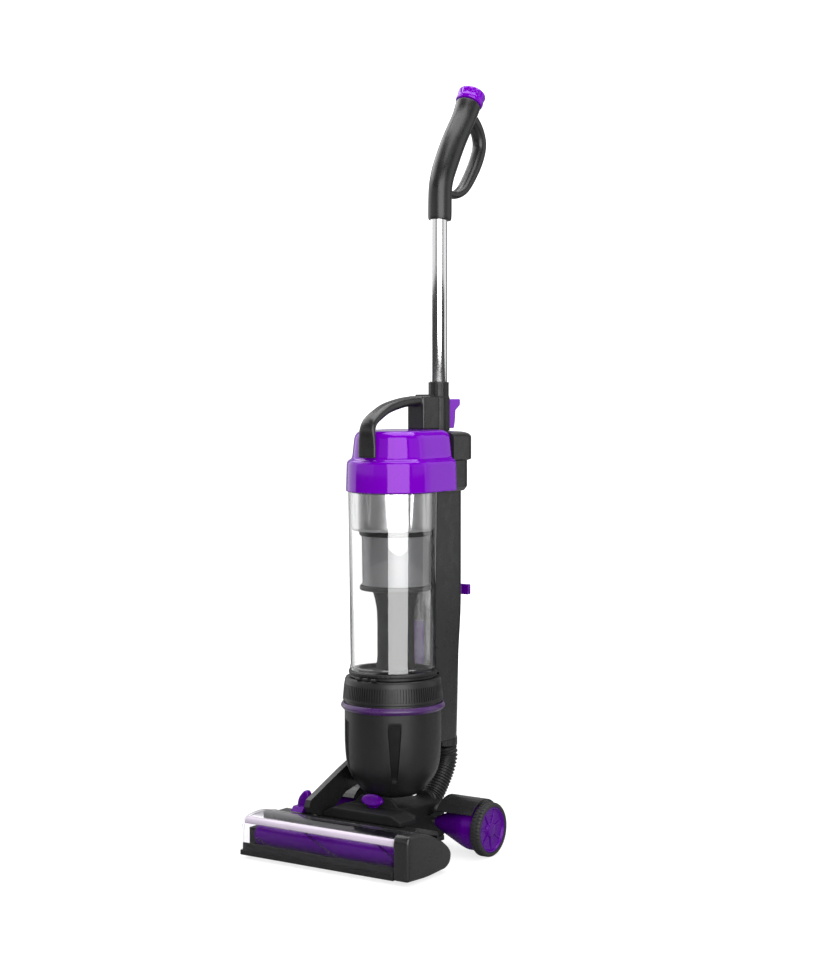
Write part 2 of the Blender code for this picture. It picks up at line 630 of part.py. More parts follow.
# ---- spine ------------------------------------------------------------------------------
def make_spine():
    levels = ((SPINE_LOW, 0.291), (0.250, 0.295), (0.350, SPINE_BACK), (SPINE_TOP, SPINE_BACK))
    outer = [in_plan(bar_outline(SPINE_HALF, 0.222, back, 0.020), z) for z, back in levels]
    spine = piece("spine", outer, "satin_black")
    low, first = levels[0]
    rows = ((low - 0.01, first), *levels[1:], (SPINE_TOP + 0.01, SPINE_BACK))
    inner = [in_plan(bar_outline(SPINE_HALF - SPINE_WALL, 0.2475, back - SPINE_WALL, 0.017), z)
             for z, back in rows]
    place = (0, at(BIN_DEPTH), 0)
    room = piece("cut_duct", inner, None)
    lower = turned("cut_motor", [(0.0691, 0.10), (0.0691, 0.1985), (0.0745, 0.1985), (0.0745, 0.2135),
                                 (0.0717, 0.2135), (0.0717, 0.2485), (0.0650, 0.2485), (0.0650, 0.52)],
                   None, place, FACETS_IN_SPINE)
    channel = box("cut_channel", None, (-0.0125, 0.0125), (0.220, 0.2427), (0.245, 0.52))
    window = box("cut_switch", None, (-0.0105, 0.0105), (0.270, 0.320), (0.216, 0.244))
    cut(spine, room, lower, channel, window)


def make_spine_cover():
    front = HEAD_FRONT
    levels = ((SPINE_TOP + GAP, 0.046, 0), (0.514, 0.0515, 0), (0.5515, 0.0515, 0), (0.5525, 0.0585, 0),
              (0.584, 0.0585, 0), (0.590, 0.0555, 0.003), (COVER_TOP, 0.0505, 0.008))
    outer = [in_plan(bar_outline(half, front, SPINE_BACK - inset, 0.026), z) for z, half, inset in levels]
    cover = piece("spine_cover", outer, "satin_black")
    rows = ((0.50, 0.042), (0.514, 0.0480), (0.551, 0.0480), (0.555, 0.0545), (0.582, 0.0545), (0.588, 0.0505))
    inner = [in_plan(bar_outline(half, front + 0.003, SPINE_BACK - 0.003, 0.023), z) for z, half in rows]
    cut(cover, piece("cut_cover", inner, None))


def make_cable_hooks():
    """A fixed lower hook, a swivelling upper one, and the flex outlet near the foot."""
    low = 0.3025
    stem = [(low, 0.350), (0.345, 0.350), (0.345, 0.362), (low, 0.362)]
    lower = piece("lower_cable_hook", along_x(stem, -0.006, 0.006), "deep_purple")
    tongue = box("add_tongue", None, (-0.018, 0.018), (0.338, 0.345), (0.3485, 0.3635))
    fuse(lower, tongue)
    claw = [(0.3027, 0.5955), (0.3160, 0.5955), (0.3185, 0.606), (0.3200, 0.6215), (0.332, 0.6290),
            (0.332, 0.638), (0.3027, 0.638)]
    upper = piece("upper_cable_hook", along_x(claw, -0.008, 0.008), "purple")
    bevel(upper, 0.0015)
    gland = [(0.0075, 0.0), (0.0075, 0.004), (0.0055, 0.006), (0.0048, 0.018)]
    turned("cord_gland", gland, "rubber", (-0.016, at(0.2932), 0.180), FINE, rot=(-math.pi / 2, 0, 0))


def make_power_switch():
    outline = [(0.284, 0.2175), (0.2965, 0.2175), (0.2945, 0.230), (0.2965, 0.2425), (0.284, 0.2425)]
    piece("power_switch", along_x(outline, -0.0095, 0.0095), "rubber")


def make_wand_collar():
    profile = [(0.0162, COVER_TOP + GAP), (0.0162, 0.640), (0.0150, 0.643), (0.0150, COLLAR_TOP),
               (WAND_RADIUS + GAP, COLLAR_TOP), (WAND_RADIUS + GAP, COVER_TOP + GAP)]
    collar = turned("wand_collar", profile, "black", (0, at(WAND_DEPTH), 0), ROUND, hollow=True)
    slot = box("cut_collar", None, (-0.0050, 0.0050), (0.295, 0.310), (0.6435, 0.6565))
    cut(collar, slot)
    button = box("wand_release_button", "purple", (-0.0045, 0.0045), (0.3006, 0.3045), (0.6440, 0.6560))
    bevel(button, 0.0007)


# ---- bin --------------------------------------------------------------------------------
def make_bin():
    """Clear cup, the ring round its foot, the hinged door and its catch."""
    place = (0, at(BIN_DEPTH), 0)
    cup = [(BIN_RADIUS_LOW, BIN_LOW), (BIN_RADIUS_TOP, BIN_TOP), (BIN_RADIUS_TOP - BIN_WALL, BIN_TOP),
           (BIN_RADIUS_LOW - BIN_WALL, BIN_LOW)]
    turned("bin_cup", cup, "clear", place, hollow=True)
    turned("bin_ring", tube_profile(RING_RADIUS, 0.0575, RING_LOW, BIN_LOW - GAP), "black", place,
           hollow=True)
    door = turned("bin_door", [(0.060, DOOR_LOW), (0.062, DOOR_LOW + 0.001), (0.062, RING_LOW - GAP)],
                  "black", place)
    knuckle = turned("add_knuckle", [(0.0022, -0.016), (0.0022, 0.016)], None,
                     (0, at(HINGE_DEPTH), HINGE_Z), 12, along_x=True)
    leaf = box("add_leaf", None, (-0.016, 0.016), (HINGE_DEPTH, 0.112), (HINGE_Z - 0.0016, HINGE_Z + 0.0014))
    fuse(door, knuckle, leaf)
    catch = box("door_catch", "purple", (-CATCH_HALF, CATCH_HALF), (CATCH_FRONT, CATCH_BACK),
                (DOOR_LOW + 0.001, CATCH_TOP))
    rod = box("door_pushrod", "black", (-0.002, 0.002), (0.2342, 0.2372), (CATCH_TOP + 0.001, 0.5095))
    bevel(catch, 0.0010, 1)
    bevel(rod, 0.0006, 1)


def make_cyclone():
    """Chamber, collar, mesh shroud, flange and cone, stacked on one axis inside the bin."""
    place = (0, at(CYCLONE_DEPTH), 0)
    chamber = [(0.0560, 0.4549), (0.0575, 0.4560), (0.0583, 0.4585), (0.0586, 0.5095), (0.0568, 0.5095),
               (0.0563, 0.4600), (0.0550, 0.4574), (0.0300, 0.4569), (0.0300, 0.4549)]
    turned("cyclone_chamber", chamber, "chrome", (0, at(BIN_DEPTH), 0), hollow=True)
    turned("cyclone_collar", tube_profile(0.0518, 0.0400, 0.4476, 0.4546), "black", place, hollow=True)
    turned("cyclone_shroud", tube_profile(0.0485, 0.0470, 0.3773, 0.4473), "mesh_grey", place, hollow=True)
    turned("shroud_flange", tube_profile(0.0514, 0.0290, 0.3700, 0.3770), "black", place, hollow=True)
    cone = [(0.0335, 0.3697), (0.0295, 0.356), (0.0270, 0.343), (0.0262, 0.320), (0.0262, 0.272),
            (0.0285, 0.258), (0.0267, 0.258), (0.0244, 0.272), (0.0244, 0.320), (0.0252, 0.343),
            (0.0277, 0.356), (0.0317, 0.3697)]
    turned("cyclone_cone", cone, "black", place, ROUND, hollow=True)


def make_lid():
    levels = ((LID_LOW, LID_RADIUS), (LID_STEP - 0.002, 0.0652), (LID_STEP, 0.0632),
              (LID_STEP + 0.0005, 0.0575), (LID_TOP - 0.008, 0.0545), (LID_TOP, 0.0490))
    outer = [in_plan(d_outline(radius, LID_BACK), z) for z, radius in levels]
    lid = piece("lid", outer, "purple")
    rows = ((LID_LOW - 0.01, 0.0637), (LID_STEP - 0.003, 0.0622), (LID_STEP - 0.0015, 0.0545),
            (LID_TOP - 0.009, 0.0515), (LID_TOP - 0.003, 0.0472))
    inner = [in_plan(d_outline(radius, LID_BACK - LID_WALL), z) for z, radius in rows]
    cut(lid, piece("cut_lid", inner, None))


def make_carry_handle():
    """Strap up the lid's front, a bowed grip, and the block that holds the release button."""
    stations = [(0.1080, 0.5590, 0.0122, 0.0036), (0.1080, 0.5850, 0.0122, 0.0036),
                (0.1090, 0.6000, 0.0118, 0.0052), (0.1165, 0.6100, 0.0112, 0.0068),
                (0.1350, 0.6195, 0.0108, 0.0072), (0.1560, 0.6275, 0.0106, 0.0072),
                (0.1900, 0.6340, 0.0108, 0.0070), (0.2200, 0.6365, 0.0112, 0.0070),
                (0.2380, 0.6365, 0.0122, 0.0068)]
    handle = swept("carry_handle", stations, "satin_black", 2, 12, 0.6)
    block = box("add_block", None, (-0.015, 0.015), (0.2262, 0.2680), (LID_TOP + GAP, 0.6410))
    pocket = box("cut_pocket", None, (-0.0095, 0.0095), (0.2375, 0.2625), (0.6300, 0.6500))
    bevel(block, 0.003)
    fuse(handle, block)
    cut(handle, pocket)
    button = box("bin_release_button", "satin_black", (-0.0090, 0.0090), (0.2380, 0.2620), (0.6340, 0.6455))
    bevel(button, 0.0012)


# ---- wand and handle --------------------------------------------------------------------
def make_wand():
    turned("wand_tube", tube_profile(WAND_RADIUS, WAND_BORE, WAND_LOW, WAND_TOP), "chrome",
           (0, at(WAND_DEPTH), 0), ROUND, hollow=True)


def make_handle_grip():
    """Hand grip that leans back, with the D-shaped guard behind it."""
    stations = [(0.2885, GRIP_LOW, 0.0163, 0.0166), (0.2890, 0.9050, 0.0172, 0.0176),
                (0.2900, 0.9400, 0.0170, 0.0176), (0.2950, 0.9600, 0.0170, 0.0182),
                (0.3050, 0.9800, 0.0174, 0.0188), (0.3250, 1.0130, 0.0174, 0.0188),
                (0.3450, 1.0470, 0.0178, 0.0182), (0.3650, 1.0700, 0.0188, 0.0182)]
    end = Vector((COLLAR_DEPTH, COLLAR_Z)) - heading() * (COLLAR_HALF + GAP)
    stations[-2] = (end.x - heading().x * 0.026, end.y - heading().y * 0.026, 0.0172, 0.0172)
    stations[-1] = (end.x, end.y, 0.0188, 0.0188)
    grip = swept("handle_grip", stations, "satin_black", 2, 16)
    guard = [(0.3480, 1.0530, 0.0090, 0.0085), (0.3680, 1.0520, 0.0100, 0.0095),
             (0.3865, 1.0370, 0.0102, 0.0092), (0.3950, 1.0155, 0.0102, 0.0094),
             (0.3870, 0.9920, 0.0102, 0.0096), (0.3695, 0.9670, 0.0100, 0.0088),
             (0.3500, 0.9465, 0.0094, 0.0076), (0.3300, 0.9370, 0.0086, 0.0062),
             (0.3120, 0.9365, 0.0080, 0.0056), (0.2950, 0.9400, 0.0074, 0.0056)]
    loop = swept("add_guard", guard, None, 1, 10)
    socket = turned("cut_socket", [(WAND_RADIUS + GAP, 0.88), (WAND_RADIUS + GAP, WAND_TOP + 0.002)], None,
                    (0, at(WAND_DEPTH), 0), ROUND)
    fuse(grip, loop)
    cut(grip, socket)


def heading():
    """Direction of the leaning grip in (depth, height)."""
    return Vector((math.sin(GRIP_TILT), math.cos(GRIP_TILT)))


def make_end_collar():
    profile = [(0.0185, -COLLAR_HALF), (0.0200, -COLLAR_HALF), (COLLAR_RADIUS, -0.0070),
               (COLLAR_RADIUS, 0.0040), (0.0190, 0.0055), (0.0190, COLLAR_HALF), (0.0135, COLLAR_HALF),
               (0.0135, -0.0060)]
    turned("end_collar", profile, "purple", (0, at(COLLAR_DEPTH), COLLAR_Z), ROUND,
           rot=(-GRIP_TILT, 0, 0))


def main():
    clear_scene()
    make_sole_plate()
    make_nozzle_deck()
    make_clear_hood()
    make_end_cap()
    make_neck_block()
    make_glides()
    make_brush()
    make_brush_drive()
    make_wheels()
    make_fenders()
    make_yoke_arm()
    make_recline_pedal()
    make_hood_latch()
    make_lower_hose()
    make_motor_housing()
    make_motor_trim()
    make_motor_inside()
    make_spine()
    make_spine_cover()
    make_cable_hooks()
    make_power_switch()
    make_wand_collar()
    make_bin()
    make_cyclone()
    make_lid()
    make_carry_handle()
    make_wand()
    make_handle_grip()
    make_end_collar()


main()
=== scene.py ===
"""Looks of the bagless upright vacuum cleaner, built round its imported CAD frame.

Units are metres, +Z is up and the cleaner faces -Y. Depths are measured backwards from the
nozzle's front edge, and at() turns a depth into a Y.
"""
import json
import math
import random

import bmesh
import bpy
from mathutils import Matrix, Vector

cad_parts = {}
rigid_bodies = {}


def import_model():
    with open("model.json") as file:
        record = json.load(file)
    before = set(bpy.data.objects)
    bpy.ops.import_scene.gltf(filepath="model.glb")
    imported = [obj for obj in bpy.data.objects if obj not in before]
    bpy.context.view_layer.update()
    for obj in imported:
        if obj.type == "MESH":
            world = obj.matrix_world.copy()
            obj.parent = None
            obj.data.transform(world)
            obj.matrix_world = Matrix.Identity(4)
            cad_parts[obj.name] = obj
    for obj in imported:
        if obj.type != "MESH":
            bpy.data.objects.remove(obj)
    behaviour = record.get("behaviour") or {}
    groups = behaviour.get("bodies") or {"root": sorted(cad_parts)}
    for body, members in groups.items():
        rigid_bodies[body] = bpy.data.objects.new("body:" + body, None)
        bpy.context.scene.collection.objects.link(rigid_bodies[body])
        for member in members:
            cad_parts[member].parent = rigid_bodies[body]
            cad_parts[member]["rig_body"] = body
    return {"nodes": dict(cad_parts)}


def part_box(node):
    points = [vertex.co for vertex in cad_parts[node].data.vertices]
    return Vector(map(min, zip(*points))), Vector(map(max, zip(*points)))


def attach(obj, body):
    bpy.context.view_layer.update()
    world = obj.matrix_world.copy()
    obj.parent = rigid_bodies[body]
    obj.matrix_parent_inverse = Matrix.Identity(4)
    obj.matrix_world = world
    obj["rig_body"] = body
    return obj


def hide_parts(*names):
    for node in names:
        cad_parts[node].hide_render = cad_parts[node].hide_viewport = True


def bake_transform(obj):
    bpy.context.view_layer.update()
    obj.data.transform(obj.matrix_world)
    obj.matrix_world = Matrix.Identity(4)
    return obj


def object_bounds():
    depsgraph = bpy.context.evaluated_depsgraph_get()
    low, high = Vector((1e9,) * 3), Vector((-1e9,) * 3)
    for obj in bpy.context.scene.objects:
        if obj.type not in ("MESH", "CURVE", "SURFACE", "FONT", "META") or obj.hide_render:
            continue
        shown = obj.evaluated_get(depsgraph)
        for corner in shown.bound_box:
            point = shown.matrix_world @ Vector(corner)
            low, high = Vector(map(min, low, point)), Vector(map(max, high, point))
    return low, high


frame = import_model()
CAD_LOW, CAD_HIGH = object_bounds()
FRONT = CAD_LOW.y - 0.0005
PI = math.pi


def at(depth):
    """Y of a point this far behind the nozzle's front edge."""
    return FRONT + depth


def middle(node):
    low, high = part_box(node)
    return (low + high) / 2


BIN = middle("bin_ring")
CYCLONE = middle("cyclone_shroud")
WAND = middle("wand_tube")
AXLE = middle("axle")
BRUSH = middle("brush_roll")
PIVOT = middle("pivot_pin_left")
TILT = math.radians(31)                       # lean of the handle's grip
COLLAR = Vector((0, at(0.3705), 1.0810))      # centre of the twist collar
COLLAR_AXIS = Vector((0, math.sin(TILT), math.cos(TILT)))


# ---- materials ----
def new_material(name):
    mat = bpy.data.materials.new(name)
    mat.use_nodes = True
    return mat, mat.node_tree, mat.node_tree.nodes["Principled BSDF"]


def noise(tree, scale, detail=3.0, stretch=(1, 1, 1)):
    where = tree.nodes.new("ShaderNodeTexCoord").outputs["Object"]
    if stretch != (1, 1, 1):
        mapping = tree.nodes.new("ShaderNodeMapping")
        mapping.inputs["Scale"].default_value = stretch
        tree.links.new(where, mapping.inputs["Vector"])
        where = mapping.outputs["Vector"]
    node = tree.nodes.new("ShaderNodeTexNoise")
    node.inputs["Scale"].default_value = scale
    node.inputs["Detail"].default_value = detail
    tree.links.new(where, node.inputs["Vector"])
    return node.outputs["Fac"]


def spread(tree, socket, low, high, start=0.3, end=0.7):
    node = tree.nodes.new("ShaderNodeMapRange")
    for name, value in (("From Min", start), ("From Max", end), ("To Min", low), ("To Max", high)):
        node.inputs[name].default_value = value
    tree.links.new(socket, node.inputs["Value"])
    return node.outputs["Result"]


def blend_colours(tree, factor, one, two):
    node = tree.nodes.new("ShaderNodeMix")
    node.data_type = "RGBA"
    tree.links.new(factor, node.inputs["Factor"])
    for socket, value in ((node.inputs[6], one), (node.inputs[7], two)):
        if isinstance(value, tuple):
            socket.default_value = (*value, 1.0)
        else:
            tree.links.new(value, socket)
    return node.outputs[2]


def bump(tree, shader, height, distance, strength=1.0):
    node = tree.nodes.new("ShaderNodeBump")
    node.inputs["Distance"].default_value = distance
    node.inputs["Strength"].default_value = strength
    tree.links.new(height, node.inputs["Height"])
    tree.links.new(node.outputs["Normal"], shader.inputs["Normal"])


def shade(colour, amount):
    return tuple(c * amount for c in colour)


def plastic(name, colour, rough, grain=1500.0, depth=0.00003, tone=0.10, vary=0.05, coat=0.0, specular=0.5,
            glint=(1, 1, 1)):
    """Moulded plastic: mottled tone, fine grain in the bump and uneven gloss."""
    mat, tree, shader = new_material(name)
    cloud = noise(tree, 28.0, 4.0)
    tinted = blend_colours(tree, spread(tree, cloud, 0, 1), shade(colour, 1 - tone), shade(colour, 1 + tone))
    tree.links.new(tinted, shader.inputs["Base Color"])
    rub = noise(tree, 90.0, 5.0)
    tree.links.new(spread(tree, rub, rough - vary, rough + vary), shader.inputs["Roughness"])
    bump(tree, shader, noise(tree, grain, 2.0), depth)
    shader.inputs["Specular IOR Level"].default_value = specular
    shader.inputs["Specular Tint"].default_value = (*glint, 1)
    shader.inputs["Coat Weight"].default_value = coat
    shader.inputs["Coat Roughness"].default_value = 0.03
    return mat


def metal(name, colour, rough, stretch=(1, 1, 1), grain=400.0, depth=0.00001, vary=0.04, tone=0.05):
    mat, tree, shader = new_material(name)
    shader.inputs["Metallic"].default_value = 1.0
    lines = noise(tree, grain, 4.0, stretch)
    tinted = blend_colours(tree, spread(tree, lines, 0, 1), shade(colour, 1 - tone), shade(colour, 1 + tone))
    tree.links.new(tinted, shader.inputs["Base Color"])
    tree.links.new(spread(tree, lines, max(rough - vary, 0.01), rough + vary), shader.inputs["Roughness"])
    bump(tree, shader, lines, depth)
    return mat


def math_node(tree, operation, one, two=None):
    node = tree.nodes.new("ShaderNodeMath")
    node.operation = operation
    for socket, value in zip(node.inputs, (one, two)):
        if value is None:
            continue
        if isinstance(value, (int, float)):
            socket.default_value = value
        else:
            tree.links.new(value, socket)
    return node.outputs[0]


def clear(name, tint, edge, gloss, rough=0.03):
    """Polished clear plastic on thin walls: see-through, darker edge on, with a gloss."""
    mat, tree, shader = new_material(name)
    shader.inputs["Base Color"].default_value = (1, 1, 1, 1)
    shader.inputs["Metallic"].default_value = 1.0
    scuffs = noise(tree, 140.0, 6.0)
    tree.links.new(spread(tree, scuffs, rough, rough * 1.8, 0.45, 0.8), shader.inputs["Roughness"])
    facing = tree.nodes.new("ShaderNodeLayerWeight")
    facing.inputs["Blend"].default_value = 0.5
    steep = spread(tree, facing.outputs["Facing"], 0.0, 1.0, 0.60, 0.85)
    see = tree.nodes.new("ShaderNodeBsdfTransparent")
    tree.links.new(blend_colours(tree, steep, tint, edge), see.inputs["Color"])
    rise = math_node(tree, "POWER", facing.outputs["Facing"], 5.0)
    share = math_node(tree, "ADD", math_node(tree, "MULTIPLY", rise, 1 - gloss), gloss)
    mix = tree.nodes.new("ShaderNodeMixShader")
    tree.links.new(share, mix.inputs["Fac"])
    tree.links.new(see.outputs["BSDF"], mix.inputs[1])
    tree.links.new(shader.outputs["BSDF"], mix.inputs[2])
    tree.links.new(mix.outputs["Shader"], tree.nodes["Material Output"].inputs["Surface"])
    return mat


def perforated(name, metal_colour, hole_colour, axis, around, pitch):
    """Sheet with staggered round holes laid out round a vertical axis."""
    mat, tree, shader = new_material(name)
    parts = tree.nodes.new("ShaderNodeSeparateXYZ")
    tree.links.new(tree.nodes.new("ShaderNodeTexCoord").outputs["Object"], parts.inputs[0])
    across = math_node(tree, "SUBTRACT", parts.outputs["X"], axis.x)
    along = math_node(tree, "SUBTRACT", parts.outputs["Y"], axis.y)
    turn = math_node(tree, "MULTIPLY", math_node(tree, "ARCTAN2", along, across), around / (2 * PI))
    row = math_node(tree, "DIVIDE", parts.outputs["Z"], pitch)
    odd = math_node(tree, "MULTIPLY", math_node(tree, "MODULO", math_node(tree, "FLOOR", row), 2.0), 0.5)
    u = math_node(tree, "SUBTRACT", math_node(tree, "FRACT", math_node(tree, "ADD", turn, odd)), 0.5)
    v = math_node(tree, "SUBTRACT", math_node(tree, "FRACT", row), 0.5)
    reach = math_node(tree, "ADD", math_node(tree, "MULTIPLY", u, u), math_node(tree, "MULTIPLY", v, v))
    solid = spread(tree, reach, 0.0, 1.0, 0.06, 0.10)
    tree.links.new(blend_colours(tree, solid, hole_colour, metal_colour), shader.inputs["Base Color"])
    tree.links.new(spread(tree, solid, 0.0, 0.75, 0.0, 1.0), shader.inputs["Metallic"])
    shader.inputs["Roughness"].default_value = 0.38
    bump(tree, shader, solid, 0.0002)
    return mat


MATTE = plastic("matte_black", (0.0085, 0.0085, 0.0087), 0.40, depth=0.00005, specular=0.35)
# Near-black: the dust cone's own colour, and painted shade on the floors of the motor slots.
PITCH = plastic("black_and_slot_shade", (0.0030, 0.0030, 0.0030), 0.60, specular=0.15)
ROUGH = plastic("rough_black", (0.0090, 0.0090, 0.0092), 0.58, depth=0.00006, specular=0.2)
SATIN = plastic("satin_black", (0.0110, 0.0110, 0.0114), 0.30, depth=0.00003, specular=0.4)
PURPLE = plastic("gloss_purple", (0.132, 0.0, 0.36), 0.08, grain=260.0, depth=0.000008, tone=0.03, vary=0.02,
                 glint=(0.95, 0.45, 1.0))
DEEP = plastic("deep_purple", (0.062, 0.0, 0.180), 0.26, grain=420.0, depth=0.00002, tone=0.06, vary=0.04,
               specular=0.3, glint=(0.9, 0.4, 1.0))
DRUM = plastic("drum_purple", (0.060, 0.0, 0.160), 0.34, grain=420.0, depth=0.00002, tone=0.08, vary=0.05,
               specular=0.25, glint=(0.7, 0.3, 0.9))
SMOKE = plastic("smoky_purple", (0.045, 0.012, 0.085), 0.30, grain=420.0, depth=0.00002, tone=0.08)
RUBBER = plastic("hose_rubber", (0.012, 0.012, 0.0125), 0.46, grain=900.0, depth=0.00006)
TYRE = plastic("tyre_rubber", (0.013, 0.013, 0.0135), 0.62, grain=700.0, depth=0.00008, tone=0.18)
FOAM = plastic("filter_foam", (0.11, 0.11, 0.12), 0.95, grain=1800.0, depth=0.0004, tone=0.2)
HAIR = plastic("nylon_hair", (0.020, 0.012, 0.035), 0.45, grain=2000.0)
CHROME = metal("chrome_tube", (0.80, 0.80, 0.81), 0.13, stretch=(1, 1, 0.02), grain=900.0, vary=0.03, tone=0.02)
SILVER = metal("metallised", (0.62, 0.62, 0.63), 0.34, grain=60.0, depth=0.000002, vary=0.03, tone=0.03)
STEEL = metal("turned_steel", (0.55, 0.55, 0.56), 0.30, stretch=(6, 1, 1), vary=0.08)
ALLOY = metal("cast_alloy", (0.45, 0.45, 0.46), 0.45, grain=900.0, depth=0.00005)
CLEAR = clear("clear_bin", (0.99, 0.99, 0.99), (0.55, 0.55, 0.56), 0.090, 0.016)
HOOD = clear("clear_hood", (0.97, 0.965, 0.98), (0.60, 0.58, 0.62), 0.012, 0.04)
# Light lilac of the bead on the hood's top edge: painted highlight.
HIGHLIGHT_STRIP = plastic("painted_highlight_strip", (0.46, 0.40, 0.49), 0.22, grain=300.0, depth=0.00001, tone=0.04, coat=0.3)
MESH = perforated("perforated_mesh", (0.34, 0.34, 0.35), (0.03, 0.03, 0.032), CYCLONE, 200, 0.0014)


# ---- shape helpers ----
def rounded(points, radius, steps=4, closed=True):
    """Rounds the corners of a 2-D outline. radius is one number or one for each point."""
    done = []
    count = len(points)
    for i in range(count):
        corner = Vector(points[i])
        bend = radius[i] if isinstance(radius, (list, tuple)) else radius
        if bend == 0 or (not closed and i in (0, count - 1)):
            done.append(tuple(corner))
            continue
        before = Vector(points[i - 1]) - corner
        after = Vector(points[(i + 1) % count]) - corner
        reach = min(bend, before.length * 0.48, after.length * 0.48)
        start = corner + before.normalized() * reach
        end = corner + after.normalized() * reach
        for k in range(steps + 1):
            t = k / steps
            done.append(tuple(start * (1 - t) ** 2 + corner * 2 * t * (1 - t) + end * t * t))
    return done


def smooth_path(points, steps):
    """Catmull-Rom curve through points of any size."""
    rows = [Vector(p) for p in points]
    rows = [rows[0] * 2 - rows[1]] + rows + [rows[-1] * 2 - rows[-2]]
    path = []
    for a, b, c, d in zip(rows, rows[1:], rows[2:], rows[3:]):
        for k in range(steps):
            t = k / steps
            path.append(0.5 * (b * 2 + (c - a) * t + (a * 2 - b * 5 + c * 4 - d) * t * t
                               + (b * 3 - a - c * 3 + d) * t ** 3))
    path.append(rows[-2])
    return path


def curve(points, steps):
    """The same curve as plain tuples."""
    return [tuple(p) for p in smooth_path(points, steps)]


def heading(points, i):
    """Direction of an open line of points at point i."""
    return (Vector(points[min(i + 1, len(points) - 1)]) - Vector(points[max(i - 1, 0)])).normalized()


def polar(radius, angle, height):
    return (radius * math.cos(angle), radius * math.sin(angle), height)


def inset(outline, distance):
    """Closed outline moved inwards; its points run anticlockwise."""
    done = []
    count = len(outline)
    for i in range(count):
        run = Vector(outline[(i + 1) % count]) - Vector(outline[i - 1])
        run.normalize()
        done.append((outline[i][0] - run.y * distance, outline[i][1] + run.x * distance))
    return done


def frame_on(place, axis):
    """Matrix that puts local +Z along axis at a place."""
    return Matrix.Translation(place) @ Vector(axis).to_track_quat("Z", "Y").to_matrix().to_4x4()


def turn_x(place):
    """Matrix that lays local +Z along +X, with local X up."""
    return Matrix.Translation(place) @ Matrix(((0, 0, 1, 0), (0, 1, 0, 0), (-1, 0, 0, 0), (0, 0, 0, 1)))


def add_object(name, data):
    obj = bpy.data.objects.new(name, data)
    bpy.context.scene.collection.objects.link(obj)
    return obj


class Form:
    """One piece under construction: several skins gathered in one mesh."""

    def __init__(self):
        self.bm = bmesh.new()

    def skin(self, rows, loop=False, ring=True, caps=True, matrix=None):
        bm = self.bm
        if matrix is not None:
            rows = [[matrix @ Vector(p) for p in row] for row in rows]
        grid = [[bm.verts.new(p) for p in row] for row in rows]
        count = len(grid[0])
        pairs = list(zip(grid, grid[1:])) + ([(grid[-1], grid[0])] if loop else [])
        made = []
        for a, b in pairs:
            for i in range(count if ring else count - 1):
                j = (i + 1) % count
                made.append(bm.faces.new((a[i], a[j], b[j], b[i])))
        if caps and not loop:
            made.append(bm.faces.new(list(reversed(grid[0]))))
            made.append(bm.faces.new(grid[-1]))
        bmesh.ops.recalc_face_normals(bm, faces=made)
        return self

    def lathe(self, profile, matrix, sides=96, loop=False, shape=None):
        """Turns (radius, height) points about local Z. shape changes a radius by angle and row."""
        angles = [2 * PI * i / sides for i in range(sides)]
        rows = []
        for k, (radius, height) in enumerate(profile):
            rows.append([polar(shape(a, radius, height, k) if shape else radius, a, height) for a in angles])
        return self.skin(rows, loop=loop, matrix=matrix)

    def prism(self, outline, low, high, axis, edge=0.0, steps=3):
        """Outline pushed along an axis, with rounded rims. 'X' takes (depth, z), 'Y' (x, z), 'Z' (x, depth)."""
        turns = [PI / 2 * k / steps for k in range(steps + 1)]
        stations = [(low + edge * (1 - math.cos(a)), edge * (1 - math.sin(a))) for a in turns]
        stations += [(high + low - place, shrink) for place, shrink in reversed(stations)]
        if edge == 0:
            stations = [(low, 0), (high, 0)]
        area = sum(a[0] * b[1] - b[0] * a[1] for a, b in zip(outline[-1:] + outline[:-1], outline))
        if area < 0:
            outline = list(reversed(outline))
        rows = []
        for place, shrink in stations:
            row = inset(outline, shrink) if shrink else outline
            if axis == "X":
                rows.append([(place, at(u), v) for u, v in row])
            elif axis == "Y":
                rows.append([(u, at(place), v) for u, v in row])
            else:
                rows.append([(u, at(v), place) for u, v in row])
        return self.skin(rows)

    def tube(self, path, radius, sides):
        """Round bar along a path of points; radius is a function of the step."""
        rows = []
        side = None
        for i, point in enumerate(path):
            run = heading(path, i)
            if side is None:
                side = run.orthogonal().normalized()
            side = (side - run * run.dot(side)).normalized()
            up = run.cross(side)
            r = radius(i)
            rows.append([Vector(point) + side * math.cos(2 * PI * k / sides) * r
                         + up * math.sin(2 * PI * k / sides) * r for k in range(sides)])
        return self.skin(rows)

    def make(self, name, mat, body, slot=None, stands_for=(), crease=32, bevel=0.0, cuts=(), voxel=0.0,
             smooth=0):
        obj = self.as_object(name)
        obj.data.materials.append(mat)
        obj.data.shade_smooth()
        obj.data.set_sharp_from_angle(angle=math.radians(crease))
        for cutter in cuts:
            mod = obj.modifiers.new("cut", "BOOLEAN")
            mod.object = cutter
            mod.operation = "DIFFERENCE"
            mod.solver = "EXACT"
        if cuts:
            graph = bpy.context.evaluated_depsgraph_get()
            obj.data = bpy.data.meshes.new_from_object(obj.evaluated_get(graph), depsgraph=graph)
            obj.modifiers.clear()
            obj.data.set_sharp_from_angle(angle=math.radians(crease))
            for cutter in cuts:
                bpy.data.objects.remove(cutter)
        refine(obj, bevel, voxel, smooth, crease)
        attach(obj, body)
        if stands_for:
            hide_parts(*stands_for)
        return obj

    def as_object(self, name):
        """The bare object; a body for a cut stays like this, and make() removes it after the cut."""
        mesh = bpy.data.meshes.new(name)
        self.bm.to_mesh(mesh)
        self.bm.free()
        return add_object(name, mesh)


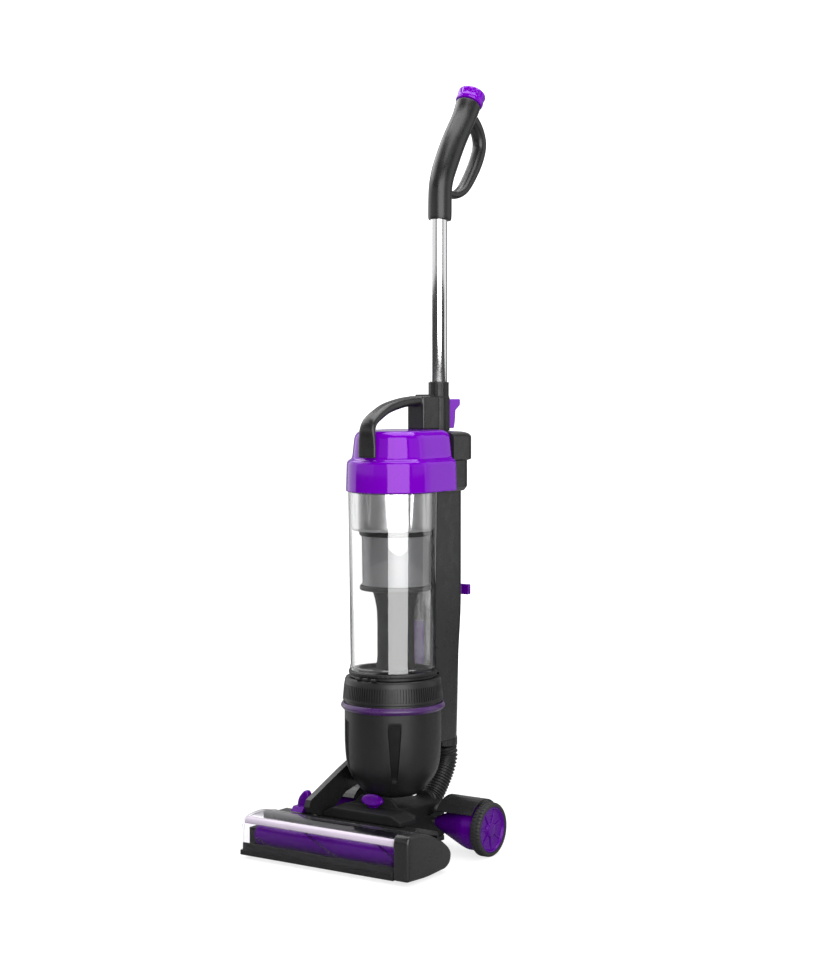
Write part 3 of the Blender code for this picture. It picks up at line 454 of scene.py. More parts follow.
def refine(obj, bevel=0.0, voxel=0.0, smooth=0, crease=32):
    if voxel:
        mod = obj.modifiers.new("even skin", "REMESH")
        mod.mode = "VOXEL"
        mod.voxel_size = voxel
        mod.use_smooth_shade = True
    if smooth:
        mod = obj.modifiers.new("soften", "SMOOTH")
        mod.factor = 0.5
        mod.iterations = smooth
    if bevel:
        mod = obj.modifiers.new("soft edges", "BEVEL")
        mod.width = bevel
        mod.segments = 3
        mod.limit_method = "ANGLE"
        mod.angle_limit = math.radians(crease)
        mod.harden_normals = True


def keep(node, mat, bevel=0.0, voxel=0.0, smooth=0):
    """CAD node shown as it is, with a better material and softer edges."""
    obj = frame["nodes"][node]
    obj.data.materials.clear()
    obj.data.materials.append(mat)
    if bevel or voxel:
        weld = obj.modifiers.new("one skin", "WELD")
        weld.merge_threshold = 0.00001
    refine(obj, bevel, voxel, smooth)
    return obj


# ---- bin and cyclone ----
def z_axis(centre):
    return Matrix.Translation((centre.x, centre.y, 0))


def make_bin():
    low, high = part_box("bin_cup")
    top, foot = 0.0633, 0.0600
    wall = 0.0020
    profile = [(foot, low.z), (foot + 0.0012, low.z + 0.0006), (foot + 0.0012, low.z + 0.0045),
               (foot + 0.0001, low.z + 0.0055)]
    profile += [(foot + (top - foot) * t, low.z + 0.0055 + (high.z - low.z - 0.0055) * t)
                for t in (0.25, 0.5, 0.75, 1.0)]
    inner = [(top - wall, high.z), (foot - wall, low.z + 0.004), (foot - wall - 0.002, low.z)]
    Form().lathe(profile + inner, z_axis(BIN), 160, loop=True).make(
        "bin_wall", CLEAR, "bin", "clear_plastic", ["bin_cup"])
    low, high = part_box("bin_ring")
    ring = rounded([(0.0575, high.z), (0.0575, low.z), (0.0618, low.z), (0.0630, low.z + 0.0014),
                    (0.0630, high.z - 0.0014), (0.0612, high.z)], 0.0006, 3)

    def grips(angle, r, height, row):
        ridge = 0.5 + 0.5 * math.cos(angle * 60)
        return r - (0.0007 * ridge if r > 0.0628 else 0)

    Form().lathe(ring, z_axis(BIN), 240, loop=True, shape=grips).make(
        "bin_foot_ring", MATTE, "bin", "matte_black_plastic", ["bin_ring"])
    low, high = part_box("bin_door")
    door = Form().lathe([(0.0020, low.z), (0.0560, low.z), (0.0575, low.z + 0.0004), (0.0600, low.z + 0.0004),
                         (0.0619, low.z + 0.0012), (0.0619, high.z - 0.0003), (0.0500, high.z - 0.0002),
                         (0.0480, high.z - 0.0008), (0.0020, high.z - 0.0008)], z_axis(BIN), 96)
    for i in range(8):
        a = 2 * PI * i / 8
        door.skin([[(math.cos(a) * r - math.sin(a) * w, BIN.y + math.sin(a) * r + math.cos(a) * w, z)
                    for r, w in ((0.006, -0.0008), (0.046, -0.0008), (0.046, 0.0008), (0.006, 0.0008))]
                   for z in (low.z - 0.0001, low.z + 0.0009)])
    hinge = Vector((0, at(0.1045), 0.250))
    for x in (-0.0135, 0.0, 0.0135):
        door.lathe(rounded([(0.0004, x - 0.004), (0.0022, x - 0.004), (0.0022, x + 0.004), (0.0004, x + 0.004)],
                           0.0005, 2, False), turn_x(hinge), 20)
    door.prism([(0.1045, 0.2486), (0.112, 0.2486), (0.112, 0.2512), (0.1045, 0.2514)], -0.016, 0.016, "X")
    door.make("bin_floor_plate", MATTE, "bin_floor", "matte_black_plastic", ["bin_door"])


def make_cyclone():
    low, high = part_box("cyclone_chamber")
    flutes = 12

    def fluted(angle, r, height, row):
        share = (height - low.z - 0.004) / (high.z - low.z)
        width = 0.16 * max(share, 0.0) + 0.015
        off = (angle * flutes / (2 * PI) + 0.5) % 1.0 - 0.5
        dent = max(0.0, 1 - (off / width) ** 2) if 0 < row < 14 else 0
        return r - 0.0010 * dent * min(1.0, max(share, 0.0) * 3)

    steps = [(0.0560, low.z), (0.0574, low.z + 0.0010), (0.0582, low.z + 0.0034)]
    steps += [(0.0583 + 0.0003 * t / 10, low.z + 0.004 + (high.z - low.z - 0.005) * t / 10) for t in range(11)]
    steps += [(0.0568, high.z), (0.0560, low.z + 0.005), (0.0300, low.z + 0.003), (0.0300, low.z)]
    Form().lathe(steps, z_axis(BIN), 288, loop=True, shape=fluted).make(
        "chrome_chamber", SILVER, "bin", "silver_plated_plastic", ["cyclone_chamber"])
    low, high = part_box("cyclone_collar")
    band = rounded([(0.0400, low.z), (0.0507, low.z), (0.0516, low.z + 0.0015), (0.0518, high.z - 0.0010),
                    (0.0508, high.z), (0.0400, high.z)], 0.0006, 3)
    Form().lathe(band, z_axis(CYCLONE), 128, loop=True).make(
        "chamber_band", MATTE, "bin", "matte_black_plastic", ["cyclone_collar"])
    low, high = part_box("cyclone_shroud")
    shroud = Form().lathe([(0.0470, low.z), (0.0472, low.z + 0.002), (0.0481, high.z - 0.002), (0.0482, high.z),
                           (0.0462, high.z), (0.0450, low.z)], z_axis(CYCLONE), 128, loop=True)
    shroud.make("shroud_mesh", MESH, "bin", "grey_mesh", ["cyclone_shroud"])
    ribs = Form()
    for i in range(6):
        a = 2 * PI * (i + 0.25) / 6
        across = Vector((-math.sin(a), math.cos(a), 0))
        out = Vector((math.cos(a), math.sin(a), 0))
        rows = []
        for z, r in ((low.z + 0.0002, 0.0468), (high.z - 0.0002, 0.0478)):
            base = Vector((CYCLONE.x, CYCLONE.y, z))
            rows.append([base + out * (r - 0.0010) - across * 0.0016, base + out * (r + 0.0005) - across * 0.0010,
                         base + out * (r + 0.0005) + across * 0.0010, base + out * (r - 0.0010) + across * 0.0016])
        ribs.skin(rows)
    for z, r in ((low.z + 0.0011, 0.0474), (high.z - 0.0011, 0.0482)):
        ribs.lathe(rounded([(r - 0.0016, z - 0.0010), (r + 0.0006, z - 0.0010), (r + 0.0006, z + 0.0010),
                            (r - 0.0016, z + 0.0010)], 0.0004, 2), z_axis(CYCLONE), 128, loop=True)
    ribs.make("shroud_ribs", MESH, "bin", "grey_mesh")
    low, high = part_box("shroud_flange")
    skirt = rounded([(0.0292, high.z), (0.0292, low.z), (0.0498, low.z), (0.0514, low.z + 0.0012),
                     (0.0508, high.z - 0.0015), (0.0496, high.z)], 0.0007, 3)
    Form().lathe(skirt, z_axis(CYCLONE), 128, loop=True).make(
        "shroud_skirt", MATTE, "bin", "matte_black_plastic", ["shroud_flange"])
    low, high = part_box("cyclone_cone")
    cone = [(0.010, low.z), (0.0284, low.z), (0.0285, low.z + 0.003), (0.0270, low.z + 0.009),
            (0.0262, low.z + 0.016), (0.0262, 0.322), (0.0269, 0.342), (0.0294, 0.356),
            (0.0334, high.z - 0.0002), (0.010, high.z)]
    Form().lathe(rounded(cone, 0.003, 4, False), z_axis(CYCLONE), 96).make(
        "dust_cone", PITCH, "bin", "matte_black_plastic", ["cyclone_cone"])


# ---- lid and carry handle ----
def d_ring(radius, back, z, corner=0.006, count=72):
    """Half circle at the front about the bin's axis, with straight sides to a flat back."""
    axis = BIN.y
    side = at(back) - axis
    points = [(radius * math.cos(PI + PI * i / count), axis + radius * math.sin(PI + PI * i / count))
              for i in range(count + 1)]
    for i in range(1, 5):
        points.append((radius, axis + (side - corner) * i / 5))
    for i in range(7):
        a = PI / 2 * i / 6
        points.append((radius - corner + corner * math.cos(a), axis + side - corner + corner * math.sin(a)))
    for i in range(1, 8):
        points.append(((radius - corner) * (1 - 2 * i / 8), axis + side))
    for i in range(7):
        a = PI / 2 + PI / 2 * i / 6
        points.append((corner - radius + corner * math.cos(a), axis + side - corner + corner * math.sin(a)))
    for i in range(1, 5):
        points.append((-radius, axis + (side - corner) * (1 - i / 5)))
    return [(x, y, z) for x, y in points]


def make_lid():
    low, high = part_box("lid")
    back = 0.2373
    outer = [(0.0535, low.z), (0.0655, low.z), (0.0665, low.z + 0.001), (0.0654, 0.5480), (0.0646, 0.5515),
             (0.0628, 0.5540), (0.0603, 0.5552), (0.0585, 0.5570), (0.0574, 0.5600), (0.0549, 0.5825),
             (0.0541, 0.5868), (0.0522, 0.5906), (0.0492, 0.5938), (0.0455, 0.5956), (0.0400, high.z),
             (0.0300, high.z)]
    profile = rounded(outer, 0.0022, 4, False)
    rows = [d_ring(r, back - max(0.0, (z - 0.5900) * 0.8), z) for r, z in profile]
    inner = [(0.0300, 0.585), (0.0505, 0.580), (0.0535, 0.548)]
    rows += [d_ring(r, back - 0.004, z) for r, z in inner]
    form = Form()
    form.skin(rows, loop=True, caps=False)
    top = [d_ring(r, back - 0.0054, z) for r, z in ((0.0300, high.z - 0.0001), (0.0300, 0.592))]
    form.skin(top)
    form.make("lid_cover", PURPLE, "bin", "gloss_purple_plastic", ["lid"])


def bar(stations, steps, sides=40, square=0.72):
    """Rings of a bar through (depth, height, half width, half thickness) stations in the middle plane."""
    path = smooth_path(stations, steps)
    rows = []
    last = len(path) - 1
    for i, (depth, z, half, thick) in enumerate(path):
        behind, ahead = path[max(i - 1, 0)], path[min(i + 1, last)]
        run = Vector((ahead[0] - behind[0], ahead[1] - behind[1])).normalized()
        row = []
        for k in range(sides):
            a = 2 * PI * (k + 0.5) / sides
            across = half * math.copysign(abs(math.cos(a)) ** square, math.cos(a))
            out = thick * math.copysign(abs(math.sin(a)) ** square, math.sin(a))
            row.append((across, at(depth - run.y * out), z + run.x * out))
        rows.append(row)
    return rows


def make_carry_handle():
    strap = [(0.1080, 0.5590, 0.0146, 0.0036), (0.1080, 0.5740, 0.0146, 0.0036), (0.1081, 0.5870, 0.0140, 0.0040),
             (0.1092, 0.5990, 0.0128, 0.0054), (0.1165, 0.6095, 0.0116, 0.0068), (0.1350, 0.6195, 0.0108, 0.0072),
             (0.1560, 0.6275, 0.0106, 0.0072), (0.1900, 0.6340, 0.0108, 0.0070), (0.2200, 0.6365, 0.0112, 0.0070),
             (0.2390, 0.6365, 0.0120, 0.0068)]
    low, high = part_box("carry_handle")
    block = rounded([(-0.0150, 0.2262), (0.0150, 0.2262), (0.0150, 0.2680), (-0.0150, 0.2680)], 0.0045, 5)
    Form().skin(bar(strap, 6, square=0.80)).prism(block, 0.5940, high.z, "Z", 0.0030, 4).make(
        "lid_handle", SATIN, "bin", "satin_black_plastic", ["carry_handle"], voxel=0.0009, smooth=6)
    keep("bin_release_button", SATIN, bevel=0.0012)


# ---- handle ----
def make_handle():
    low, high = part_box("wand_tube")
    tube = [(0.0113, low.z), (0.0122, low.z), (0.0125, low.z + 0.0005), (0.0125, high.z), (0.0113, high.z)]
    Form().lathe(tube, z_axis(WAND), 96, loop=True).make(
        "wand_chrome", CHROME, "wand", "chrome_tube", ["wand_tube"])
    low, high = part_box("handle_grip")
    grip = [(0.2885, low.z, 0.0163, 0.0166), (0.2890, 0.9050, 0.0172, 0.0176), (0.2900, 0.9400, 0.0170, 0.0176),
            (0.2950, 0.9600, 0.0170, 0.0182), (0.3050, 0.9800, 0.0174, 0.0188), (0.3250, 1.0130, 0.0174, 0.0188)]
    end = COLLAR - COLLAR_AXIS * 0.0113
    grip += [(end.y - at(0) - COLLAR_AXIS.y * back, end.z - COLLAR_AXIS.z * back, half, half)
             for back, half in ((0.026, 0.0178), (0.0, 0.0188))]
    guard = [(0.3480, 1.0530, 0.0090, 0.0085), (0.3680, 1.0520, 0.0100, 0.0095), (0.3865, 1.0370, 0.0102, 0.0092),
             (0.3950, 1.0155, 0.0102, 0.0094), (0.3870, 0.9920, 0.0102, 0.0096), (0.3695, 0.9670, 0.0100, 0.0088),
             (0.3500, 0.9465, 0.0094, 0.0076), (0.3300, 0.9370, 0.0086, 0.0062), (0.3120, 0.9365, 0.0080, 0.0056),
             (0.2950, 0.9400, 0.0074, 0.0056)]
    Form().skin(bar(grip, 8, square=1.0)).skin(bar(guard, 5, square=0.85)).make(
        "hand_grip", SATIN, "wand", "satin_black_plastic", ["handle_grip"], voxel=0.0009, smooth=8)

    def scallops(angle, r, height, row):
        rise = math.sin(PI * min(max((height + 0.0030) / 0.0110, 0.0), 1.0)) if r > 0.0185 else 0.0
        return r - 0.0012 * rise * (0.5 - 0.5 * math.cos(angle * 12)) ** 2

    body = [(0.0150, -0.0100), (0.0186, -0.0100), (0.0196, -0.0094), (0.0204, -0.0078), (0.0206, -0.0060),
            (0.0206, -0.0040), (0.0203, -0.0032), (0.0199, -0.0026), (0.0199, -0.0010), (0.0201, 0.0005),
            (0.0206, 0.0020), (0.0210, 0.0035), (0.0210, 0.0055), (0.0207, 0.0072), (0.0200, 0.0086),
            (0.0186, 0.0097), (0.0172, 0.0100), (0.0150, 0.0100)]
    Form().lathe(body, frame_on(COLLAR, COLLAR_AXIS), 240, loop=True, shape=scallops).make(
        "twist_crown", PURPLE, "twist_collar", "gloss_purple_plastic", ["end_collar"])


def make_wand_collar():
    keep("wand_collar", MATTE, bevel=0.0008)
    keep("wand_release_button", PURPLE)
    keep("upper_cable_hook", PURPLE)
    keep("lower_cable_hook", DEEP, bevel=0.0012)


# ---- spine and motor ----
def bar_outline(half, front, back, radius, steps=10):
    """Rectangle in plan with rounded back corners."""
    points = [(-half, front), (0.0, front), (half, front)]
    for cx, start in ((half - radius, 0.0), (radius - half, PI / 2)):
        for i in range(steps + 1):
            a = start + PI / 2 * i / steps
            points.append((cx + radius * math.cos(a), back - radius + radius * math.sin(a)))
    return points


def in_plan(outline, z):
    return [(x, at(d), z) for x, d in outline]


def make_spine():
    low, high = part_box("spine")
    levels = [(low.z, 0.2902), (low.z + 0.0008, 0.2910)]
    levels += [(low.z + (0.250 - low.z) * t, 0.291 + 0.004 * t) for t in (0.33, 0.66, 1.0)]
    levels += [(0.250 + 0.100 * t, 0.295 + 0.007 * (3 * t * t - 2 * t ** 3)) for t in (0.2, 0.4, 0.6, 0.8, 1.0)]
    levels += [(high.z - 0.0008, 0.302), (high.z, 0.3012)]
    rows = [in_plan(bar_outline(0.038, 0.222, back, 0.020), z) for z, back in levels]
    front = Form().lathe([(0.0691, 0.10), (0.0691, 0.1985), (0.0745, 0.1985), (0.0745, 0.2135), (0.0717, 0.2135),
                          (0.0717, 0.2485), (0.0650, 0.2485), (0.0650, 0.52)], z_axis(BIN), 160).as_object("cut_bore")
    channel = Form().prism([(-0.0125, 0.220), (0.0125, 0.220), (0.0125, 0.2427), (-0.0125, 0.2427)],
                           0.245, 0.52, "Z").as_object("cut_channel")
    window = Form().prism(rounded([(-0.0105, 0.216), (0.0105, 0.216), (0.0105, 0.244), (-0.0105, 0.244)], 0.002),
                          0.278, 0.320, "Y").as_object("cut_window")
    Form().skin(rows).make("spine_shell", SATIN, "upright_body", "satin_black_plastic", ["spine"],
                           cuts=(front, channel, window))
    low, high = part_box("spine_cover")
    levels = [(low.z, 0.0455, 0.0), (low.z + 0.001, 0.0467, 0.0), (0.513, 0.0513, 0.0), (0.515, 0.0515, 0.0),
              (0.5506, 0.0515, 0.0), (0.5518, 0.0560, 0.0), (0.5530, 0.0585, 0.0), (0.584, 0.0585, 0.0),
              (0.5865, 0.0579, 0.0006), (0.589, 0.0560, 0.0022), (0.5908, 0.0530, 0.005), (high.z, 0.0485, 0.009)]
    rows = [in_plan(bar_outline(half, 0.238, 0.302 - back, 0.026), z) for z, half, back in levels]
    Form().skin(rows).make("spine_head", SATIN, "upright_body", "satin_black_plastic", ["spine_cover"])
    keep("power_switch", RUBBER, bevel=0.0012)
    gland = [(0.0030, 0.0), (0.0075, 0.0), (0.0075, 0.004), (0.0060, 0.0052)]
    for i in range(5):
        y = 0.0062 + 0.0024 * i
        r = 0.0056 - 0.00018 * i
        gland += [(r, y), (r, y + 0.0013), (r - 0.0009, y + 0.0016), (r - 0.0009, y + 0.0021)]
    gland += [(0.0030, 0.0180)]
    place = Vector((-0.016, at(0.2932), 0.180))
    Form().lathe(gland, frame_on(place, (0, 1, 0)), 32).make(
        "cord_outlet", RUBBER, "upright_body", "rubber", ["cord_gland"])


SLOT_TURN = math.radians(37)       # each side of straight ahead
SLOT_DEPTH = 0.0026
SLOTS_AT = (-PI / 2 - SLOT_TURN, -PI / 2 + SLOT_TURN)


def slot_half(z):
    """Half angle of the tapered slot in the housing at a height."""
    t = min(max((z - 0.108) / 0.070, 0.0), 1.0)
    return (0.0040 + 0.0046 * t) / 0.0655


def make_motor():
    core = [(0.020, 0.0765), (0.040, 0.083), (0.055, 0.100), (0.0630, 0.114), (0.0667, 0.130), (0.0683, 0.150),
            (0.0687, 0.165), (0.0687, 0.190), (0.0687, 0.2125)]
    path = curve(core, 10)
    path = [(0.004, 0.0766)] + [(min(r, 0.0687), z) for r, z in path] + [(0.0682, 0.2145), (0.0500, 0.2147)]
    steps = [-1.6, -1.25, -1.06, -0.86, -0.4, 0.0, 0.4, 0.86, 1.06, 1.25, 1.6]
    deep = [0, 0, 0, 1, 1, 1, 1, 1, 0, 0, 0]
    columns = []
    for centre in SLOTS_AT:
        columns += [(centre, s, d) for s, d in zip(steps, deep)]
    rest = slot_half(0.2)
    guard = rest * 1.75
    for i in range(160):
        a = SLOTS_AT[0] + 2 * PI * i / 160
        near = min(abs((a - c + PI) % (2 * PI) - PI) for c in SLOTS_AT)
        if near > guard:
            columns.append((a, 0.0, 0))
    columns.sort(key=lambda c: (c[0] + c[1] * rest) % (2 * PI))
    rows = []
    for r, z in path:
        ends = min(max((z - 0.104) / 0.006, 0.0), 1.0) * min(max((0.1885 - z) / 0.0022, 0.0), 1.0)
        row = []
        for centre, step, sunk in columns:
            row.append(polar(r - SLOT_DEPTH * sunk * ends, centre + step * slot_half(z), z))
        rows.append(row)
    form = Form().skin(rows, matrix=z_axis(BIN))
    cheek = [(0.0100, -0.050), (0.0150, -0.050), (0.0150, -0.0675), (0.0140, -0.0685), (0.0100, -0.0685)]
    form.lathe(cheek, turn_x(Vector((0, PIVOT.y, PIVOT.z))), 48)
    form.make("motor_bowl", MATTE, "upright_body", "matte_black_plastic", ["motor_housing"])
    # Darker, rougher beds on the floors of the slots: painted shade in the slot recesses.
    beds = Form()
    levels = curve([(0.0630, 0.1135), (0.0667, 0.130), (0.0683, 0.150), (0.0687, 0.1860)], 6)
    for centre in SLOTS_AT:
        rows = []
        for r, z in levels:
            ring = [(r - 0.0022, step) for step in (-0.9, -0.45, 0.0, 0.45, 0.9)]
            ring += [(r - 0.0030, step) for step in (0.9, 0.45, 0.0, -0.45, -0.9)]
            rows.append([polar(radius, centre + step * slot_half(z), z) for radius, step in ring])
        beds.skin(rows, matrix=z_axis(BIN))
    beds.make("slot_shade_beds", PITCH, "upright_body", "matte_black_plastic")
    low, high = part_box("accent_ring")
    low.z += 0.0020
    ring = rounded([(0.0690, low.z), (0.0708, low.z), (0.0740, low.z + 0.0040), (0.0740, high.z - 0.0045),
                    (0.0715, high.z), (0.0690, high.z)], 0.0022, 4)
    Form().lathe(ring, z_axis(BIN), 160, loop=True).make(
        "accent_band", SMOKE, "upright_body", "gloss_purple_plastic", ["accent_ring"])
    low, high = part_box("vent_ring")
    ribs = 110
    rows = []
    profile = [(0.0605, low.z, 0), (0.0708, low.z, 0), (0.0713, low.z + 0.0008, 0), (0.0711, low.z + 0.0040, 0),
               (0.0710, low.z + 0.0044, 1), (0.0704, 0.2260, 1), (0.0692, 0.2380, 1), (0.0690, 0.2384, 0),
               (0.0684, 0.2440, 0), (0.0668, high.z - 0.0006, 0), (0.0658, high.z, 0), (0.0605, high.z, 0)]
    for r, z, cut_in in profile:
        row = []
        for i in range(ribs):
            for share, sunk in ((0.0, 0), (0.42, 0), (0.50, 1), (0.92, 1)):
                row.append(polar(r - 0.0014 * sunk * cut_in, 2 * PI * (i + share) / ribs, z))
        rows.append(row)
    Form().skin(rows, loop=True, matrix=z_axis(BIN)).make(
        "vent_grille", MATTE, "upright_body", "matte_black_plastic", ["vent_ring"])
    keep("pivot_pin_left", SATIN, bevel=0.0006)
    keep("fan_motor", ALLOY)
    keep("impeller", MATTE)
    keep("exhaust_filter", FOAM)
    keep("pre_motor_filter", FOAM)


def make_hose():
    route = [(0.016, 0.279, 0.1335), (0.0165, 0.2825, 0.121), (0.016, 0.2800, 0.106), (0.015, 0.2710, 0.090),
             (0.014, 0.2610, 0.0760), (0.013, 0.2525, 0.0655), (0.0122, 0.2445, 0.0592), (0.012, 0.2375, 0.0575)]
    fine = smooth_path(route, 60)
    lengths = [0.0]
    for a, b in zip(fine, fine[1:]):
        lengths.append(lengths[-1] + (b - a).length)
    total = lengths[-1]
    pitch = total / round(total / 0.0046)
    count = int(round(total / pitch)) * 6
    path = []
    k = 0
    for i in range(count + 1):
        reach = min(total * i / count, total * 0.999999)
        while lengths[k + 1] < reach:
            k += 1
        t = (reach - lengths[k]) / (lengths[k + 1] - lengths[k])
        p = fine[k].lerp(fine[k + 1], t)
        path.append(Vector((p.x, at(p.y), p.z)))
    bulge = (0.0, 0.55, 1.0, 1.0, 0.55, 0.0)
    hose = Form().tube(path, lambda i: 0.0143 + 0.0022 * bulge[i % 6], 40)
    obj = hose.make("ribbed_hose", RUBBER, "upright_body", "rubber", ["lower_hose"])
    obj.parent = None
    del obj["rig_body"]
    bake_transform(obj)
    keep("hose_cuff", MATTE, bevel=0.0008)


# ---- floor head ----
def shell_rows(profile, xs, centre, thick):
    """Open polylines of a cover that is rounded at its left end: outer skin, then inner skin."""
    def scaled(points, x, scale):
        return [(x, at(centre[0] + (d - centre[0]) * scale), centre[1] + (z - centre[1]) * scale) for d, z in points]

    inner = []
    for i, (d, z) in enumerate(profile):
        run = heading(profile, i)
        inner.append((d + run.y * thick, max(z - run.x * thick, profile[0][1])))
    inner[0] = (profile[0][0] + thick, profile[0][1])
    inner[-1] = (profile[-1][0] - thick, profile[-1][1])
    left, right, bend = xs
    reach = 0.045
    outer_rows = [scaled(profile, left, s) for s in (0.02, 0.4, 0.7)]
    for k in range(7):
        a = PI / 2 * k / 6
        outer_rows.append(scaled(profile, left + bend * (1 - math.cos(a)), 1 - bend / reach * (1 - math.sin(a))))
    outer_rows.append(scaled(profile, right, 1.0))
    inner_rows = [scaled(inner, right, 1.0)]
    for k in range(6, -1, -1):
        a = PI / 2 * k / 6
        inner_rows.append(scaled(inner, left + thick + bend * (1 - math.cos(a)),
                                 1 - bend / reach * (1 - math.sin(a))))
    inner_rows += [scaled(inner, left + thick, s) for s in (0.7, 0.4, 0.02)]
    return outer_rows + inner_rows


def make_hood():
    low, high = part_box("clear_hood")
    outline = [(0.001, 0.0123), (0.001, 0.026), (0.0012, 0.040), (0.0036, 0.0520), (0.0095, 0.0590), (0.020, 0.0620),
               (0.040, 0.0630), (0.054, 0.0608)]
    profile = curve(outline, 5) + [(0.054, 0.0600), (0.054, 0.046)]
    rows = shell_rows(profile, (low.x, high.x, 0.009), (0.0275, 0.0123), 0.0020)
    form = Form().skin(rows, loop=True, ring=False, caps=False)
    bmesh.ops.holes_fill(form.bm, edges=[e for e in form.bm.edges if e.is_boundary])
    form.make("hood_cover", HOOD, "hood", "clear_plastic", ["clear_hood"])
    # A raised bead along the hood's top-front edge, in that light lilac: painted highlight of the lamps on this edge.
    corner = curve([(0.0033, 0.0512), (0.0048, 0.0543), (0.0070, 0.0571), (0.0100, 0.0593)], 5)
    rim = []
    for i, (d, z) in enumerate(corner):
        run = heading(corner, i)
        lift = 0.0008 * math.sin(PI * i / (len(corner) - 1))
        rim.append((d - run.y * lift, z + run.x * lift))
    rim += [(d + 0.0012, z - 0.0012) for d, z in reversed(corner)]
    Form().prism(rim, low.x + 0.0070, high.x - 0.0005, "X", 0.0003).make(
        "hood_highlight_rim", HIGHLIGHT_STRIP, "hood", "clear_plastic")


def make_deck():
    keep("sole_plate", MATTE, bevel=0.0008)
    keep("nozzle_deck", SATIN, bevel=0.0018)
    low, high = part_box("end_cap_right")
    outline = [(0.0005, 0.006), (0.0005, 0.060), (0.006, 0.0675), (0.020, 0.0672), (0.040, 0.0640), (0.062, 0.0570),
               (0.086, 0.0455), (0.100, 0.0350), (0.106, 0.0270), (0.104, 0.0140), (0.094, 0.0070), (0.049, 0.0040)]
    soft = [0.004, 0.008, 0.006, 0.008, 0.010, 0.012, 0.008, 0.006, 0.008, 0.008, 0.008, 0.012]
    Form().prism(rounded(outline, soft, 5), low.x, high.x, "X", 0.0042, 5).make(
        "right_end_cap", SATIN, "floor_head", "satin_black_plastic", ["end_cap_right"])
    keep("neck_block", ROUGH, voxel=0.0010, smooth=4)
    keep("glide_left", STEEL, bevel=0.0008)
    keep("glide_right", STEEL, bevel=0.0008)
    lip = [(0.0036, 0.0060), (0.0058, 0.0060), (0.0058, 0.0225), (0.0036, 0.0225)]
    Form().prism(lip, 0.1122, low.x - 0.0002, "X", 0.0002).make(
        "lip_end", MATTE, "floor_head", "matte_black_plastic")
    keep("brush_motor", ALLOY)
    keep("motor_pulley", STEEL)
    keep("drive_belt", RUBBER)
    keep("axle", STEEL)
    keep("yoke_arm_left", SATIN, bevel=0.0022)
    for side in ("left", "right"):
        keep("fender_" + side, SATIN, bevel=0.0010)


def make_pedal():
    rows = []
    tilt = math.radians(30)
    for lift, shrink in ((-0.0025, 0.97), (-0.0018, 1.0), (0.0006, 1.0), (0.0016, 0.97), (0.0024, 0.90),
                         (0.0028, 0.75), (0.0030, 0.50), (0.0031, 0.20)):
        row = []
        for i in range(64):
            a = 2 * PI * i / 64
            up = 0.0088 * shrink * math.sin(a)
            row.append((0.018 * shrink * math.cos(a), at(0.119 + up * math.sin(tilt) - lift * math.cos(tilt)),
                        0.0780 + up * math.cos(tilt) + lift * math.sin(tilt)))
        rows.append(row)
    form = Form().skin(rows)
    form.prism([(0.118, 0.0674), (0.125, 0.0674), (0.125, 0.078), (0.118, 0.078)], -0.007, 0.007, "X", 0.0008)
    form.make("foot_pedal", DEEP, "pedal", "deep_purple_plastic", ["recline_pedal"])
    low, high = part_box("hood_latch")
    paddle = [(low.x, 0.0560), (high.x, 0.0560), (high.x, 0.0790), (high.x - 0.0030, 0.0850),
              (high.x - 0.0085, 0.0855), (low.x + 0.0030, 0.0745)]
    paddle = rounded(paddle, [0.001, 0.001, 0.004, 0.003, 0.005, 0.006], 5)
    latch = Form().prism(paddle, 0.0880, 0.0985, "Y", 0.0030, 4)
    latch.prism([(0.0745, 0.0572), (0.1035, 0.0523), (0.1035, 0.0590), (0.0900, 0.0640), (0.0800, 0.0640)],
                low.x + 0.0010, high.x - 0.0010, "X", 0.0010)
    latch.make("latch_paddle", DEEP, "latch", "gloss_purple_plastic", ["hood_latch"])


def make_brush():
    low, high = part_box("brush_roll")
    start, end = low.x + 0.009, 0.1165
    roll = [(0.0010, low.x), (0.0040, low.x), (0.0040, start), (0.0160, start), (0.0170, start + 0.001)]
    roll += [(0.0170, start + (end - start) * i / 60) for i in range(1, 60)]
    roll += [(0.0170, end - 0.001), (0.0160, end), (0.0040, end), (0.0040, high.x), (0.0010, high.x)]

    def ridged(angle, r, height, row):
        if r < 0.0165:
            return r
        turn = 2 * PI * (height - start) / (end - start)
        wave = math.cos(2 * (-angle - turn))
        return r - 0.0010 * (0.5 - 0.5 * wave)

    Form().lathe(roll, turn_x(Vector((0, BRUSH.y, BRUSH.z))), 64, shape=ridged).make(
        "brush_drum", DRUM, "brush", "deep_purple_plastic", ["brush_roll"])
    random.seed(7)
    for number, offset in ((1, 0.0), (2, PI)):
        form = Form()
        tufts = 62
        for i in range(tufts):
            share = (i + 0.5) / tufts
            x = start + 0.004 + share * (end - start - 0.008)
            turn = offset + 2 * PI * (x - start) / (end - start)
            for j in range(9):
                lean = random.uniform(-0.05, 0.05)
                base = turn + random.uniform(-0.05, 0.05)
                shift = random.uniform(-0.0011, 0.0011)
                tall = random.uniform(0.0198, 0.0205)
                rows = []
                for r, wide in ((0.0164, 0.00022), (tall, 0.00012)):
                    a = base + (lean if r == tall else 0)
                    mid = Vector((x + shift * (1.6 if r == tall else 1), BRUSH.y + r * math.cos(a),
                                  BRUSH.z + r * math.sin(a)))
                    rows.append([mid + Vector((wide * math.cos(t), -wide * math.sin(t) * math.sin(a),
                                               wide * math.sin(t) * math.cos(a)))
                                 for t in (0, 2 * PI / 3, 4 * PI / 3)])
                form.skin(rows)
        form.make(f"bristle_row_{number}", HAIR, "brush", "bristle", [f"bristle_strip_{number}"])
    keep("brush_pulley", STEEL)


